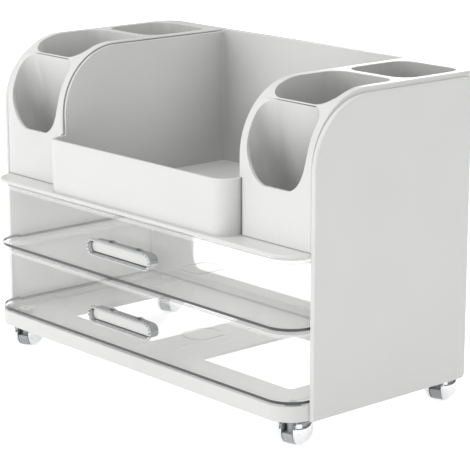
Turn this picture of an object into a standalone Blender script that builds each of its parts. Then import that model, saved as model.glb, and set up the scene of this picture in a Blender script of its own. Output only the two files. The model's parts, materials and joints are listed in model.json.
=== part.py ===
"""Desktop brush holder with two clear drawers, on four swivelling twin-wheel casters.

A base tray, two side panels and a rear frame carry a top tray. The top tray is the deck over the drawers
and the open bin between the two brush towers, in one moulding. Each tower is a separate moulding with a
curved front, three brush cups and a flange that covers the side wall of the bin. The clear drawers hang by
their rims on ledges of the side panels. Metres, +Z up, front towards -Y, the floor at Z = 0.
"""

import math

import bmesh
import bpy
from mathutils import Matrix, Vector

# Fits shared by all pieces
CLEARANCE = 0.0003  # between neighbours that rest on, or nest in, each other
RUN_GAP = 0.0004  # between a drawer and what it slides past
OVERRUN = 0.004  # how far a cut runs past the surface it opens
MERGE_DISTANCE = 0.000003  # points closer than this are one

# Body
BODY_WIDTH = 0.332  # over the two side panels
BODY_DEPTH = 0.174  # front plane of the drawers to the rear edge of the top rim
GROUND_CLEARANCE = 0.0202  # floor to the underside of the base
FRONT_CORNER_RADIUS = 0.020
REAR_CORNER_RADIUS = 0.016
RIM_OVERHANG = 0.0025  # top rim past the rear of the body

# Side panels
PANEL_THICKNESS = 0.0036
PANEL_FRONT_SETBACK = 0.0178
PANEL_REAR_SETBACK = 0.0142
PANEL_ARCH_RADIUS = 0.046
PANEL_DROP = 0.0035  # top edge below the top rim
PANEL_EDGE_RADIUS = 0.0014
PANEL_FOOT_RADIUS = 0.003
LEDGE_REACH = 0.003
LEDGE_THICKNESS = 0.0025
LEDGE_REAR_GAP = 0.0015  # in front of the rear frame's wing
TONGUE_LENGTH = 0.014
TONGUE_REACH = 0.0018
TONGUE_THICKNESS = 0.0016
TONGUE_SPREAD_SHARE = 0.28  # tongue to the panel's middle, of its depth

# Base tray
BASE_HEIGHT = 0.0104
BASE_WALL = 0.0024
BASE_WEB_LIFT = 0.0032
BASE_WEB_THICKNESS = 0.0022
WINDOW_SIDE_MARGIN = 0.047
WINDOW_FRONT_MARGIN = 0.042
WINDOW_REAR_MARGIN = 0.040
WINDOW_BRIDGE = 0.054
WINDOW_CORNER_RADIUS = 0.003
SOCKET_RADIUS = 0.0052
SOCKET_HEADROOM = 0.0008  # socket below the top of the base

# Rear frame
BACK_WALL = 0.0024
BACK_WING = 0.004  # straight end of a wing, in front of the rear corner
BACK_SIDE_MARGIN = 0.033
BACK_LOW_MARGIN = 0.006
BACK_TOP_MARGIN = 0.012
BACK_CORNER_RADIUS = 0.009

# Drawers
DRAWER_HEIGHT = 0.0470
DRAWER_REAR_GAP = 0.024  # behind a shut drawer, to the rear edge of the top rim
DRAWER_WALL = 0.0022
DRAWER_FLOOR = 0.0020
DRAWER_CHEEK_STRAIGHT = 0.0016  # side of the full-width front part, behind its rounded corner
DRAWER_REAR_RADIUS = 0.006
DRAWER_RIM_THICKNESS = 0.0033
DRAWER_RIM_PROUD = 0.0006
DRAWER_RIB_DEPTH = 0.0009
DRAWER_RIB_WIDTH = 0.0014
DRAWER_RIB_SPACING = 0.026
DRAWER_RIB_FRONT = 0.002
DRAWER_RIB_REAR = 0.012
DRAWER_SIDE_RIB_INSET = 0.007
DRAWER_SIDE_RIB_FRONT = 0.0062
GATE_RADIUS = 0.0145  # round moulding mark in the floor
GATE_DEPTH = 0.0004
GATE_SETBACK = 0.067

# Top tray and bin
TRAY_THICKNESS = 0.0024
BIN_HALF_WIDTH = 0.0957
BIN_WALL = 0.0024
BIN_SETBACK = 0.003
BIN_CORNER_RADIUS = 0.012
BIN_FRONT_HEIGHT = 0.038
BIN_BACK_INSET = 0.0029  # rear face of the bin's back wall before the rim's rear edge
BACK_RIM_HEIGHT = 0.003

# Brush towers
TOWER_HEIGHT = 0.1004
TOWER_INNER_GAP = 0.0019  # beside the bin's side wall, below the flange
TOWER_SETBACK = 0.018
TOWER_ARCH_RADIUS = 0.048
FLANGE_THICKNESS = 0.0012
FLANGE_GAP = 0.0004  # over the edge of the bin's side wall
FLANGE_COVER = 0.0007  # past the outer face of the bin's side wall
RIM_CORNER_RADIUS = 0.0150
CUP_FLOOR = 0.0022
CUP_OUTER_WALL = 0.0052
CUP_INNER_WALL = 0.0034
CUP_FRONT_WALL = 0.0026
CUP_RADIUS = 0.0125
CUP_LIP_RADIUS = 0.0025  # front corners of the front cup at its floor
FRONT_CUP_CORNER = 0.0090  # rear corners of the front cup at the ridge
FRONT_CUP_TOP_DEPTH = 0.0145
FRONT_CUP_FLOOR_DEPTH = 0.0360
CUP_RIDGE = 0.0018  # wall between the front and the middle cup
MIDDLE_CUP_END = 0.0805  # rear of the middle cup, from the tower's front
CUP_BRIDGE = 0.0060  # wall between the middle and the rear cup
REAR_CUP_SETBACK = 0.0135  # behind the rear cup, to the rear edge of the top rim
WINDOW_SILL = 0.0362  # lower edge of the front opening over the tower's foot
WINDOW_SILL_SHARE = 0.322  # lower corner of the front opening, of the width of the cups
WINDOW_SILL_RADIUS_Z = 0.0290
PEG_RADIUS = 0.0025
PEG_SPACING = 0.090
PEG_FRONT = 0.030  # front peg behind the tower's front

# Pulls
PULL_LENGTH = 0.0695
PULL_HEIGHT = 0.0130
PULL_DEPTH = 0.0094
PULL_LIFT = 0.0228  # middle of the pull over the drawer's underside
BEAD_RADIUS = 0.0012
BEAD_NECK_RADIUS = 0.0008
BEAD_COUNT = 56
PULL_LIP_INSET = 0.0003  # beads past the lip that carries them
PULL_LIP_THICKNESS = 0.0013
PULL_SHANK_INSET = 0.0016  # all round, from the beads to the shank behind them
PULL_RECESS_DEPTH = 0.0037
PULL_FOOT_RISE = 0.0010  # round feet past the shank
PULL_FOOT_DEPTH = 0.0022
INLAY_THICKNESS = 0.0009
INLAY_EDGE = 0.0003
SCREW_SPACING = 0.030
SCREW_RADIUS = 0.0014
SCREW_GRIP = 0.0028  # length inside the pull
SCREW_HEAD_RADIUS = 0.0030
SCREW_HEAD_HEIGHT = 0.0016
SCREW_SLOT_WIDTH = 0.0007
SCREW_SLOT_DEPTH = 0.0007

# Casters
BALL_RADIUS = 0.0121  # domes of the two wheels
WHEEL_RADIUS = 0.0109
WHEEL_TREAD = 0.0020
WHEEL_SHOULDER = 0.0004
CASTER_SIDE_INSET = 0.0199  # swivel pin from the side of the body
CASTER_FRONT_INSET = 0.0186
CASTER_REAR_INSET = 0.0156
CASTER_TRAIL = 0.0032  # axle behind the swivel pin
FORK_HALF_WIDTH = 0.0039
FORK_RADIUS = 0.0107
WHEEL_GAP = 0.0004
FORK_NECK_RADIUS = 0.0036
FORK_STEP_DROP = 0.0012  # step in front of the neck, below the axle
AXLE_RADIUS = 0.0014
AXLE_HALF_LENGTH = 0.0088
PIN_RADIUS = 0.0019
PIN_COLLAR_RADIUS = 0.0036
PIN_COLLAR_THICKNESS = 0.0008
PIN_SINK = 0.0072  # pin inside the fork's neck

# How far each caster is swivelled at rest
FRONT_LEFT_TURN = math.radians(30)
FRONT_RIGHT_TURN = math.radians(18)
REAR_LEFT_TURN = math.radians(24)
REAR_RIGHT_TURN = math.radians(21)

# Steps of the round forms
CORNER_STEPS = 6
ARCH_STEPS = 14
CUP_STEPS = 5
STADIUM_STEPS = 10
BEAD_SIDES = 6
SCREW_STEPS = 12
WHEEL_STEPS = 20
PIN_STEPS = 12
GATE_STEPS = 28

# Finishes: colour, roughness, metallic value, alpha
SATIN_WHITE = ((0.86, 0.86, 0.85), 0.35, 0.0, 1.0)
CLEAR = ((0.93, 0.94, 0.94), 0.08, 0.0, 0.3)
CHROME = ((0.80, 0.80, 0.81), 0.12, 1.0, 1.0)
PEARL = ((0.92, 0.92, 0.90), 0.25, 0.0, 1.0)
SILVER_GREY = ((0.62, 0.63, 0.63), 0.3, 0.0, 1.0)
ZINC = ((0.66, 0.67, 0.68), 0.3, 1.0, 1.0)

# Places that follow from the sizes above
PULL_REACH = PULL_DEPTH + CLEARANCE - DRAWER_RIM_PROUD  # beads in front of the drawer's rim
FRONT = PULL_REACH - (BODY_DEPTH + PULL_REACH) / 2
REAR = FRONT + BODY_DEPTH
BODY_REAR = REAR - RIM_OVERHANG
INNER_HALF = BODY_WIDTH / 2 - PANEL_THICKNESS
DRAWER_LENGTH = BODY_DEPTH - DRAWER_REAR_GAP
BASE_LOW = GROUND_CLEARANCE
BASE_TOP = BASE_LOW + BASE_HEIGHT
LOWER_DRAWER_LOW = BASE_TOP + RUN_GAP + DRAWER_RIB_DEPTH
UPPER_DRAWER_LOW = LOWER_DRAWER_LOW + DRAWER_HEIGHT + RUN_GAP + DRAWER_RIB_DEPTH
TRAY_LOW = UPPER_DRAWER_LOW + DRAWER_HEIGHT + RUN_GAP
TRAY_TOP = TRAY_LOW + TRAY_THICKNESS
RIM_TOP = TRAY_TOP + TOWER_HEIGHT
PANEL_TOP = RIM_TOP - PANEL_DROP
PANEL_FRONT = FRONT + PANEL_FRONT_SETBACK
PANEL_REAR = REAR - PANEL_REAR_SETBACK
WING_FRONT = BODY_REAR - REAR_CORNER_RADIUS - BACK_WING
WEB_LOW = BASE_LOW + BASE_WEB_LIFT
WEB_TOP = WEB_LOW + BASE_WEB_THICKNESS
TOWER_FRONT = FRONT + TOWER_SETBACK
TOWER_INNER = BIN_HALF_WIDTH + TOWER_INNER_GAP
FLANGE_EDGE = BIN_HALF_WIDTH - FLANGE_COVER
CUP_WIDTH = INNER_HALF - CLEARANCE - CUP_OUTER_WALL - TOWER_INNER - CUP_INNER_WALL
REAR_CUP_LENGTH = BODY_DEPTH - TOWER_SETBACK - MIDDLE_CUP_END - CUP_BRIDGE - REAR_CUP_SETBACK
WINDOW_SILL_RADIUS_X = WINDOW_SILL_SHARE * CUP_WIDTH
FLANGE_LOW = TRAY_TOP + BIN_FRONT_HEIGHT + CLEARANCE
DRAWER_HALF = INNER_HALF - RUN_GAP
DRAWER_CHEEK_DEPTH = FRONT_CORNER_RADIUS + DRAWER_WALL + DRAWER_CHEEK_STRAIGHT
DRAWER_BODY_HALF = INNER_HALF - LEDGE_REACH - RUN_GAP
TONGUE_SPREAD = TONGUE_SPREAD_SHARE * (PANEL_REAR - PANEL_FRONT)
TONGUE_MIDDLE = (PANEL_FRONT + PANEL_REAR) / 2
BASE_TONGUE_Z = (WEB_TOP + BASE_TOP) / 2
TRAY_TONGUE_Z = (TRAY_LOW + TRAY_TOP) / 2


def clear_scene():
    """Remove every object of the open scene."""
    for item in list(bpy.data.objects):
        bpy.data.objects.remove(item, do_unlink=True)


def material(name, finish):
    """A Principled material of one piece, in a finish of colour, roughness, metallic value and alpha."""
    colour, roughness, metallic, alpha = finish
    made = bpy.data.materials.new(name)
    made.use_nodes = True
    shader = made.node_tree.nodes["Principled BSDF"]
    shader.inputs["Base Color"].default_value = (*colour, 1.0)
    shader.inputs["Roughness"].default_value = roughness
    shader.inputs["Metallic"].default_value = metallic
    shader.inputs["Alpha"].default_value = alpha
    made.diffuse_color = (*colour, alpha)
    return made


# Outlines


def arc(middle, radii, start, end, steps):
    """Points of an elliptic arc, angles in degrees, both ends included."""
    angles = [math.radians(start + (end - start) * i / steps) for i in range(steps + 1)]
    return [(middle[0] + radii[0] * math.cos(a), middle[1] + radii[1] * math.sin(a)) for a in angles]


def rounded_outline(left, right, front, rear, front_radius, rear_radius, steps=CORNER_STEPS):
    """A rectangle with rounded corners, one radius for the front pair and one for the rear pair."""
    f, r = front_radius, rear_radius
    points = arc((left + f, front + f), (f, f), 180, 270, steps)
    points += arc((right - f, front + f), (f, f), 270, 360, steps)
    points += arc((right - r, rear - r), (r, r), 0, 90, steps)
    points += arc((left + r, rear - r), (r, r), 90, 180, steps)
    return points


def drawer_outline(front, cheek, rear, cheek_half, body_half, front_radius, rear_radius):
    """A wide front with rounded corners, and a narrower body behind it."""
    f, r = front_radius, rear_radius
    points = arc((-cheek_half + f, front + f), (f, f), 180, 270, CORNER_STEPS)
    points += arc((cheek_half - f, front + f), (f, f), 270, 360, CORNER_STEPS)
    points += [(cheek_half, cheek), (body_half, cheek)]
    points += arc((body_half - r, rear - r), (r, r), 0, 90, CORNER_STEPS)
    points += arc((-body_half + r, rear - r), (r, r), 90, 180, CORNER_STEPS)
    points += [(-body_half, cheek), (-cheek_half, cheek)]
    return points


def stadium(length, height):
    """An oblong with round ends, around zero."""
    radius = height / 2
    reach = length / 2 - radius
    points = arc((reach, 0), (radius, radius), -90, 90, STADIUM_STEPS)
    points += arc((-reach, 0), (radius, radius), 90, 270, STADIUM_STEPS)
    return points


def arched_profile(front, rear, low, top, radius):
    """Side view with a quarter-round front top corner."""
    points = [(front, low), (rear, low), (rear, top)]
    points += arc((front + radius, top - radius), (radius, radius), 90, 180, ARCH_STEPS)
    return points


# Shapes

PLACES = {
    "X": lambda a, b, along: (along, a, b),
    "Y": lambda a, b, along: (a, along, b),
    "Z": lambda a, b, along: (a, b, along),
}
DIRECTIONS = {"X": Vector((1, 0, 0)), "Y": Vector((0, 1, 0)), "Z": Vector((0, 0, 1))}


def outward(shape):
    """Turn all faces outward and return the shape."""
    bmesh.ops.recalc_face_normals(shape, faces=shape.faces[:])
    if shape.calc_volume(signed=True) < 0:
        bmesh.ops.reverse_faces(shape, faces=shape.faces[:])
    return shape


def prism(points, low, high, axis="Z"):
    """An outline extruded along an axis. The outline lies in the two other axes, in their order."""
    shape = bmesh.new()
    rim = [shape.verts.new(PLACES[axis](a, b, low)) for a, b in points]
    face = shape.faces.new(rim)
    grown = bmesh.ops.extrude_face_region(shape, geom=[face])["geom"]
    moved = [item for item in grown if isinstance(item, bmesh.types.BMVert)]
    bmesh.ops.translate(shape, verts=moved, vec=DIRECTIONS[axis] * (high - low))
    return outward(shape)


def block(low_corner, high_corner):
    """A box between two corners."""
    (x0, y0, z0), (x1, y1, z1) = low_corner, high_corner
    return prism([(x0, y0), (x1, y0), (x1, y1), (x0, y1)], z0, z1)


def loft(lower, upper, low, high):
    """A solid between two outlines of equal length at two heights."""
    shape = bmesh.new()
    edges = []
    for outline, height in ((lower, low), (upper, high)):
        rim = [shape.verts.new((x, y, height)) for x, y in outline]
        edges += shape.faces.new(rim).edges[:]
    bmesh.ops.bridge_loops(shape, edges=edges)
    return outward(shape)


def turned(profile, steps, axis="Z", middle=(0, 0, 0)):
    """A profile of (along, radius) points spun about an axis; its ends lie on the axis."""
    shape = bmesh.new()
    across = DIRECTIONS["Y"] if axis == "X" else DIRECTIONS["X"]
    places = [Vector(middle) + DIRECTIONS[axis] * along + across * radius for along, radius in profile]
    verts = [shape.verts.new(place) for place in places]
    edges = [shape.edges.new(pair) for pair in zip(verts, verts[1:])]
    bmesh.ops.spin(
        shape, geom=verts + edges, cent=middle, axis=DIRECTIONS[axis], angle=math.tau, steps=steps
    )
    bmesh.ops.remove_doubles(shape, verts=shape.verts[:], dist=MERGE_DISTANCE)
    return outward(shape)


def rod(radius, low, high, steps, axis="Z", middle=(0, 0, 0)):
    """A round bar along an axis."""
    return turned([(low, 0), (low, radius), (high, radius), (high, 0)], steps, axis, middle)


def bead_chain(length, height, along):
    """A closed string of beads round a stadium in the XZ plane, as one unbroken surface."""
    radius = height / 2
    straight = length - height
    lap = 2 * straight + math.tau * radius
    shape = bmesh.new()
    rings = []
    for index in range(2 * BEAD_COUNT):
        middle, out = stadium_place(lap * index / (2 * BEAD_COUNT), straight, radius)
        girth = BEAD_NECK_RADIUS if index % 2 else BEAD_RADIUS
        ring = []
        for side in range(BEAD_SIDES):
            turn = math.tau * side / BEAD_SIDES
            place = middle + out * (girth * math.sin(turn)) + DIRECTIONS["Y"] * (girth * math.cos(turn))
            ring.append(shape.verts.new(place + DIRECTIONS["Y"] * along))
        rings.append(ring)
    for ring, following in zip(rings, rings[1:] + rings[:1]):
        for side in range(BEAD_SIDES):
            after = (side + 1) % BEAD_SIDES
            shape.faces.new((ring[side], ring[after], following[after], following[side]))
    return outward(shape)


def stadium_place(run, straight, radius):
    """Point and outward direction at a run along a stadium in the XZ plane."""
    half_turn = math.pi * radius
    for sign in (1, -1):
        if run < straight:
            return Vector((sign * (run - straight / 2), 0, -sign * radius)), Vector((0, 0, -sign))
        run -= straight
        if run < half_turn:
            turn = run / radius
            out = Vector((sign * math.sin(turn), 0, -sign * math.cos(turn)))
            return Vector((sign * straight / 2, 0, 0)) + out * radius, out
        run -= half_turn
    return Vector((-straight / 2, 0, -radius)), Vector((0, 0, -1))


def joined(shapes):
    """Several shapes in one mesh."""
    whole = bmesh.new()
    for shape in shapes:
        mesh = bpy.data.meshes.new("shape")
        shape.to_mesh(mesh)
        whole.from_mesh(mesh)
        bpy.data.meshes.remove(mesh)
        shape.free()
    return whole


# Objects


def placed(name, shape, location=(0, 0, 0), turn=0):
    """An object from a shape, with its origin at a place; the shape is given around that origin."""
    mesh = bpy.data.meshes.new(name)
    shape.to_mesh(mesh)
    shape.free()
    item = bpy.data.objects.new(name, mesh)
    item.location = location
    item.rotation_euler.z = turn
    bpy.context.scene.collection.objects.link(item)
    return item


def solid(name, shape, finish, location=(0, 0, 0), turn=0):
    """A piece of the organiser in its own material."""
    item = placed(name, shape, location, turn)
    item.data.materials.append(material(f"{name}_finish", finish))
    return item


def helper(target, kind, shape):
    """A hidden shape in the target's own space, for a Boolean modifier."""
    item = placed(f"{target.name}_{kind}", shape)
    item.parent = target
    item.hide_render = True
    item.display_type = "WIRE"
    return item


def combine(target, tool, operation):
    """Combine a helper with the target by a Boolean modifier."""
    step = target.modifiers.new(tool.name, "BOOLEAN")
    step.operation = operation
    step.solver = "EXACT"
    step.object = tool


def fuse(target, kind, shape):
    """Add a shape to the target."""
    combine(target, helper(target, kind, shape), "UNION")


def cut(target, kind, shape):
    """Take a shape away from the target."""
    combine(target, helper(target, kind, shape), "DIFFERENCE")


def keep(target, kind, shape):
    """Keep only what the target shares with a shape."""
    combine(target, helper(target, kind, shape), "INTERSECT")


def smooth(item, angle=math.radians(35)):
    """Shade the round forms smooth and keep the edges sharp."""
    item.data.shade_smooth()
    item.data.set_sharp_from_angle(angle=angle)


# Carcass


def tongue_blocks(height, margin, side, inner, outer):
    """Boxes of the two side tongues at a height, or of their slots with a margin."""
    length = TONGUE_LENGTH / 2 + margin
    thick = TONGUE_THICKNESS / 2 + margin
    low_x, high_x = sorted((side * inner, side * outer))
    shapes = []
    for middle in (TONGUE_MIDDLE - TONGUE_SPREAD, TONGUE_MIDDLE + TONGUE_SPREAD):
        shapes.append(
            block((low_x, middle - length, height - thick), (high_x, middle + length, height + thick))
        )
    return shapes


def ledge_top(drawer_low):
    """Height of the ledge that carries a drawer's rim."""
    return drawer_low + DRAWER_HEIGHT - DRAWER_RIM_THICKNESS - CLEARANCE


def side_panel(name, side):
    """A flat panel with a quarter-round front top corner, two drawer ledges and four tongues."""
    foot = PANEL_FOOT_RADIUS
    profile = [(PANEL_FRONT, BASE_LOW)]
    profile += arc((PANEL_REAR - foot, BASE_LOW + foot), (foot, foot), 270, 360, CORNER_STEPS // 2)
    profile += arched_profile(PANEL_FRONT, PANEL_REAR, BASE_LOW, PANEL_TOP, PANEL_ARCH_RADIUS)[2:]
    inner, outer = sorted((side * INNER_HALF, side * BODY_WIDTH / 2))
    shape = prism(profile, inner, outer, "X")
    outer_x = side * BODY_WIDTH / 2
    rim = [e for e in shape.edges if all(abs(v.co.x - outer_x) < CLEARANCE / 2 for v in e.verts)]
    bmesh.ops.bevel(
        shape, geom=rim, offset=PANEL_EDGE_RADIUS, segments=2, profile=0.5, affect="EDGES", clamp_overlap=True
    )
    panel = solid(name, outward(shape), SATIN_WHITE)
    root = INNER_HALF + PANEL_THICKNESS / 2
    ledge_inner = INNER_HALF - LEDGE_REACH
    ledges = []
    for drawer_low in (LOWER_DRAWER_LOW, UPPER_DRAWER_LOW):
        low_x, high_x = sorted((side * ledge_inner, side * root))
        top = ledge_top(drawer_low)
        front = FRONT + DRAWER_CHEEK_DEPTH + RUN_GAP
        rear = WING_FRONT - LEDGE_REAR_GAP
        ledges.append(block((low_x, front, top - LEDGE_THICKNESS), (high_x, rear, top)))
    tongue_inner = INNER_HALF - TONGUE_REACH
    tongues = tongue_blocks(BASE_TONGUE_Z, 0, side, tongue_inner, root)
    tongues += tongue_blocks(TRAY_TONGUE_Z, 0, side, tongue_inner, root)
    fuse(panel, "ledges_and_tongues", joined(ledges + tongues))
    smooth(panel)


def caster_places():
    """Names, swivel axes and turns of the four casters."""
    across = BODY_WIDTH / 2 - CASTER_SIDE_INSET
    ahead = FRONT + CASTER_FRONT_INSET
    behind = BODY_REAR - CASTER_REAR_INSET
    return {
        "front_left": (-across, ahead, FRONT_LEFT_TURN),
        "front_right": (across, ahead, FRONT_RIGHT_TURN),
        "rear_left": (-across, behind, REAR_LEFT_TURN),
        "rear_right": (across, behind, REAR_RIGHT_TURN),
    }


def base_tray():
    """The shallow tray under the drawers, with two windows and four caster sockets."""
    half = INNER_HALF - CLEARANCE

    def outline(inset):
        return rounded_outline(
            -half + inset,
            half - inset,
            FRONT + inset,
            BODY_REAR - inset,
            FRONT_CORNER_RADIUS - inset,
            REAR_CORNER_RADIUS - inset,
        )

    base = solid("base_tray", prism(outline(0), BASE_LOW, BASE_TOP), SATIN_WHITE)
    upper = prism(outline(BASE_WALL), WEB_TOP, BASE_TOP + OVERRUN)
    lower = prism(outline(BASE_WALL), BASE_LOW - OVERRUN, WEB_LOW)
    cut(base, "hollows", joined([upper, lower]))
    sockets = []
    bores = []
    for x, y, _turn in caster_places().values():
        middle = (x, y, 0)
        socket_low, socket_top = (WEB_LOW + WEB_TOP) / 2, BASE_TOP - SOCKET_HEADROOM
        bore_low, bore_top = WEB_LOW - OVERRUN, BASE_TOP + OVERRUN
        sockets.append(rod(SOCKET_RADIUS, socket_low, socket_top, PIN_STEPS, "Z", middle))
        bores.append(rod(PIN_RADIUS + CLEARANCE, bore_low, bore_top, PIN_STEPS, "Z", middle))
    fuse(base, "sockets", joined(sockets))
    windows = []
    for side in (-1, 1):
        left, right = sorted((side * WINDOW_BRIDGE / 2, side * (BODY_WIDTH / 2 - WINDOW_SIDE_MARGIN)))
        front, rear = FRONT + WINDOW_FRONT_MARGIN, BODY_REAR - WINDOW_REAR_MARGIN
        radius = WINDOW_CORNER_RADIUS
        window = rounded_outline(left, right, front, rear, radius, radius, CORNER_STEPS // 2)
        windows.append(prism(window, WEB_LOW - BASE_WEB_THICKNESS, WEB_TOP + BASE_WEB_THICKNESS))
        inner = half - BASE_WALL - TONGUE_REACH
        windows += tongue_blocks(BASE_TONGUE_Z, CLEARANCE, side, inner, half + OVERRUN)
    cut(base, "openings", joined(windows + bores))
    smooth(base)


def rear_frame():
    """The thin rear wall that bends round the two rear corners, open behind the drawers."""
    half = INNER_HALF - CLEARANCE
    wing = WING_FRONT
    outer = REAR_CORNER_RADIUS
    inner = outer - BACK_WALL
    middles = ((half - outer, BODY_REAR - outer), (outer - half, BODY_REAR - outer))
    outline = [(half, wing)]
    outline += arc(middles[0], (outer, outer), 0, 90, CORNER_STEPS)
    outline += arc(middles[1], (outer, outer), 90, 180, CORNER_STEPS)
    outline += [(-half, wing), (BACK_WALL - half, wing)]
    outline += arc(middles[1], (inner, inner), 180, 90, CORNER_STEPS)
    outline += arc(middles[0], (inner, inner), 90, 0, CORNER_STEPS)
    outline += [(half - BACK_WALL, wing)]
    low, top = BASE_TOP + CLEARANCE, TRAY_LOW - CLEARANCE
    frame = solid("rear_frame", prism(outline, low, top), SATIN_WHITE)
    reach = BODY_WIDTH / 2 - BACK_SIDE_MARGIN
    radius = BACK_CORNER_RADIUS
    opening = rounded_outline(
        -reach, reach, low + BACK_LOW_MARGIN, top - BACK_TOP_MARGIN, radius, radius
    )
    cut(frame, "opening", prism(opening, BODY_REAR - BACK_WALL - OVERRUN, BODY_REAR + OVERRUN, "Y"))
    smooth(frame)


def peg_places(side):
    """Middles of the two locating pegs under a tower."""
    x = side * (TOWER_INNER + INNER_HALF) / 2
    front = TOWER_FRONT + PEG_FRONT
    return [(x, front), (x, front + PEG_SPACING)]


def bin_walls():
    """Side view of the bin: the low front wall and side walls with an arch, up to the towers' flanges."""
    root = (TRAY_LOW + TRAY_TOP) / 2
    front = FRONT + BIN_SETBACK
    rear = REAR - BIN_BACK_INSET
    drop = FLANGE_THICKNESS + FLANGE_GAP
    arch_front, side_top = TOWER_FRONT + drop, RIM_TOP - drop
    radius = TOWER_ARCH_RADIUS - drop
    low_top = TRAY_TOP + BIN_FRONT_HEIGHT
    profile = [(front, root), (rear, root), (rear, side_top)]
    profile += arc((arch_front + radius, side_top - radius), (radius, radius), 90, 180, ARCH_STEPS)
    profile += [(arch_front, low_top), (front, low_top)]
    return prism(profile, -BIN_HALF_WIDTH - OVERRUN, BIN_HALF_WIDTH + OVERRUN, "X")


def top_tray():
    """Deck over the drawers and open bin between the towers, in one moulding."""
    half = INNER_HALF - CLEARANCE
    deck = rounded_outline(-half, half, FRONT, BODY_REAR, FRONT_CORNER_RADIUS, REAR_CORNER_RADIUS)
    tray = solid("top_tray", prism(deck, TRAY_LOW, TRAY_TOP), SATIN_WHITE)

    # Walls of the bin, rounded at the two front corners
    front, rear = FRONT + BIN_SETBACK, REAR - BIN_BACK_INSET
    corner, square = BIN_CORNER_RADIUS, BIN_WALL / 2
    plan = rounded_outline(-BIN_HALF_WIDTH, BIN_HALF_WIDTH, front, rear, corner, square)
    walls = helper(tray, "bin_walls", bin_walls())
    keep(walls, "plan", prism(plan, TRAY_LOW - OVERRUN, RIM_TOP + OVERRUN))
    combine(tray, walls, "UNION")

    # Back wall between the flanges of the towers, with its rim turned to the rear
    edge = FLANGE_EDGE - CLEARANCE
    back_front = rear - BIN_WALL
    back = [
        (back_front, (TRAY_LOW + TRAY_TOP) / 2),
        (rear, (TRAY_LOW + TRAY_TOP) / 2),
        (rear, RIM_TOP - BACK_RIM_HEIGHT),
        (REAR, RIM_TOP - BACK_RIM_HEIGHT),
        (REAR, RIM_TOP),
        (back_front, RIM_TOP),
    ]
    fuse(tray, "back_wall", prism(back, -edge, edge, "X"))

    # Inside of the bin
    reach = BIN_HALF_WIDTH - BIN_WALL
    inside = rounded_outline(-reach, reach, front + BIN_WALL, back_front, corner - BIN_WALL, square)
    cut(tray, "bin_inside", prism(inside, TRAY_TOP, RIM_TOP + OVERRUN))

    # Holes for the pegs of the towers and slots for the tongues of the side panels
    openings = []
    low, high = TRAY_LOW - OVERRUN, TRAY_TOP + OVERRUN
    reach = TONGUE_LENGTH / 2 + CLEARANCE
    for side in (-1, 1):
        for x, y in peg_places(side):
            openings.append(rod(PEG_RADIUS + CLEARANCE, low, high, PIN_STEPS, "Z", (x, y, 0)))
        near, far = sorted((side * (half - TONGUE_REACH), side * (half + OVERRUN)))
        for middle in (TONGUE_MIDDLE - TONGUE_SPREAD, TONGUE_MIDDLE + TONGUE_SPREAD):
            openings.append(block((near, middle - reach, low), (far, middle + reach, high)))
    cut(tray, "peg_holes_and_slots", joined(openings))
    smooth(tray)


# Brush towers


def cup_outline(side, front, rear, front_radius, rear_radius):
    """Plan of a cup between the tower's walls."""
    outer = INNER_HALF - CLEARANCE - CUP_OUTER_WALL
    inner = TOWER_INNER + CUP_INNER_WALL
    left, right = sorted((side * inner, side * outer))
    return rounded_outline(left, right, front, rear, front_radius, rear_radius, CUP_STEPS)


def ridge():
    """Slope of the wall behind the front cup, and the place and height of its upper edge on the arch."""
    mouth = TOWER_FRONT + CUP_FRONT_WALL + FRONT_CUP_TOP_DEPTH
    ahead = TOWER_FRONT + TOWER_ARCH_RADIUS - mouth
    height = RIM_TOP - TOWER_ARCH_RADIUS + math.sqrt(TOWER_ARCH_RADIUS**2 - ahead**2)
    floor = TRAY_TOP + CLEARANCE + CUP_FLOOR
    return (FRONT_CUP_FLOOR_DEPTH - FRONT_CUP_TOP_DEPTH) / (height - floor), mouth, height


def cup_shapes(side):
    """The three brush cups. The wall between the first two leans back towards the floor."""
    floor = TRAY_TOP + CLEARANCE + CUP_FLOOR
    slope, mouth, mouth_height = ridge()
    wide = CUP_RADIUS

    # Front cup, up to just above the ridge
    front = TOWER_FRONT + CUP_FRONT_WALL
    top = mouth_height + CUP_RIDGE
    ridge_floor = mouth + slope * (mouth_height - floor)
    ridge_top = mouth + slope * (mouth_height - top)
    lip_top = ridge_top - front - FRONT_CUP_CORNER
    front_cup = loft(
        cup_outline(side, front, ridge_floor, CUP_LIP_RADIUS, wide),
        cup_outline(side, front, ridge_top, lip_top / 2, FRONT_CUP_CORNER),
        floor,
        top,
    )

    # Middle cup
    top = RIM_TOP + OVERRUN
    ridge_top = mouth + slope * (mouth_height - top)
    middle_end = TOWER_FRONT + MIDDLE_CUP_END
    middle_cup = loft(
        cup_outline(side, ridge_floor + CUP_RIDGE, middle_end, wide, wide),
        cup_outline(side, ridge_top + CUP_RIDGE, middle_end, wide, wide),
        floor,
        top,
    )

    # Rear cup
    rear_front = middle_end + CUP_BRIDGE
    rear_cup = prism(cup_outline(side, rear_front, rear_front + REAR_CUP_LENGTH, wide, wide), floor, top)
    return [front_cup, middle_cup, rear_cup]


def front_window(side):
    """The opening in the tower's front, with large elliptic lower corners."""
    outer = INNER_HALF - CLEARANCE - CUP_OUTER_WALL
    inner = TOWER_INNER + CUP_INNER_WALL
    left, right = sorted((side * inner, side * outer))
    sill = TRAY_TOP + WINDOW_SILL
    rx, rz = WINDOW_SILL_RADIUS_X, WINDOW_SILL_RADIUS_Z
    outline = arc((left + rx, sill + rz), (rx, rz), 180, 270, CORNER_STEPS)
    outline += arc((right - rx, sill + rz), (rx, rz), 270, 360, CORNER_STEPS)
    outline += [(right, RIM_TOP), (left, RIM_TOP)]
    return prism(outline, TOWER_FRONT - OVERRUN, TOWER_FRONT + CUP_FRONT_WALL + CUP_LIP_RADIUS, "Y")


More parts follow.
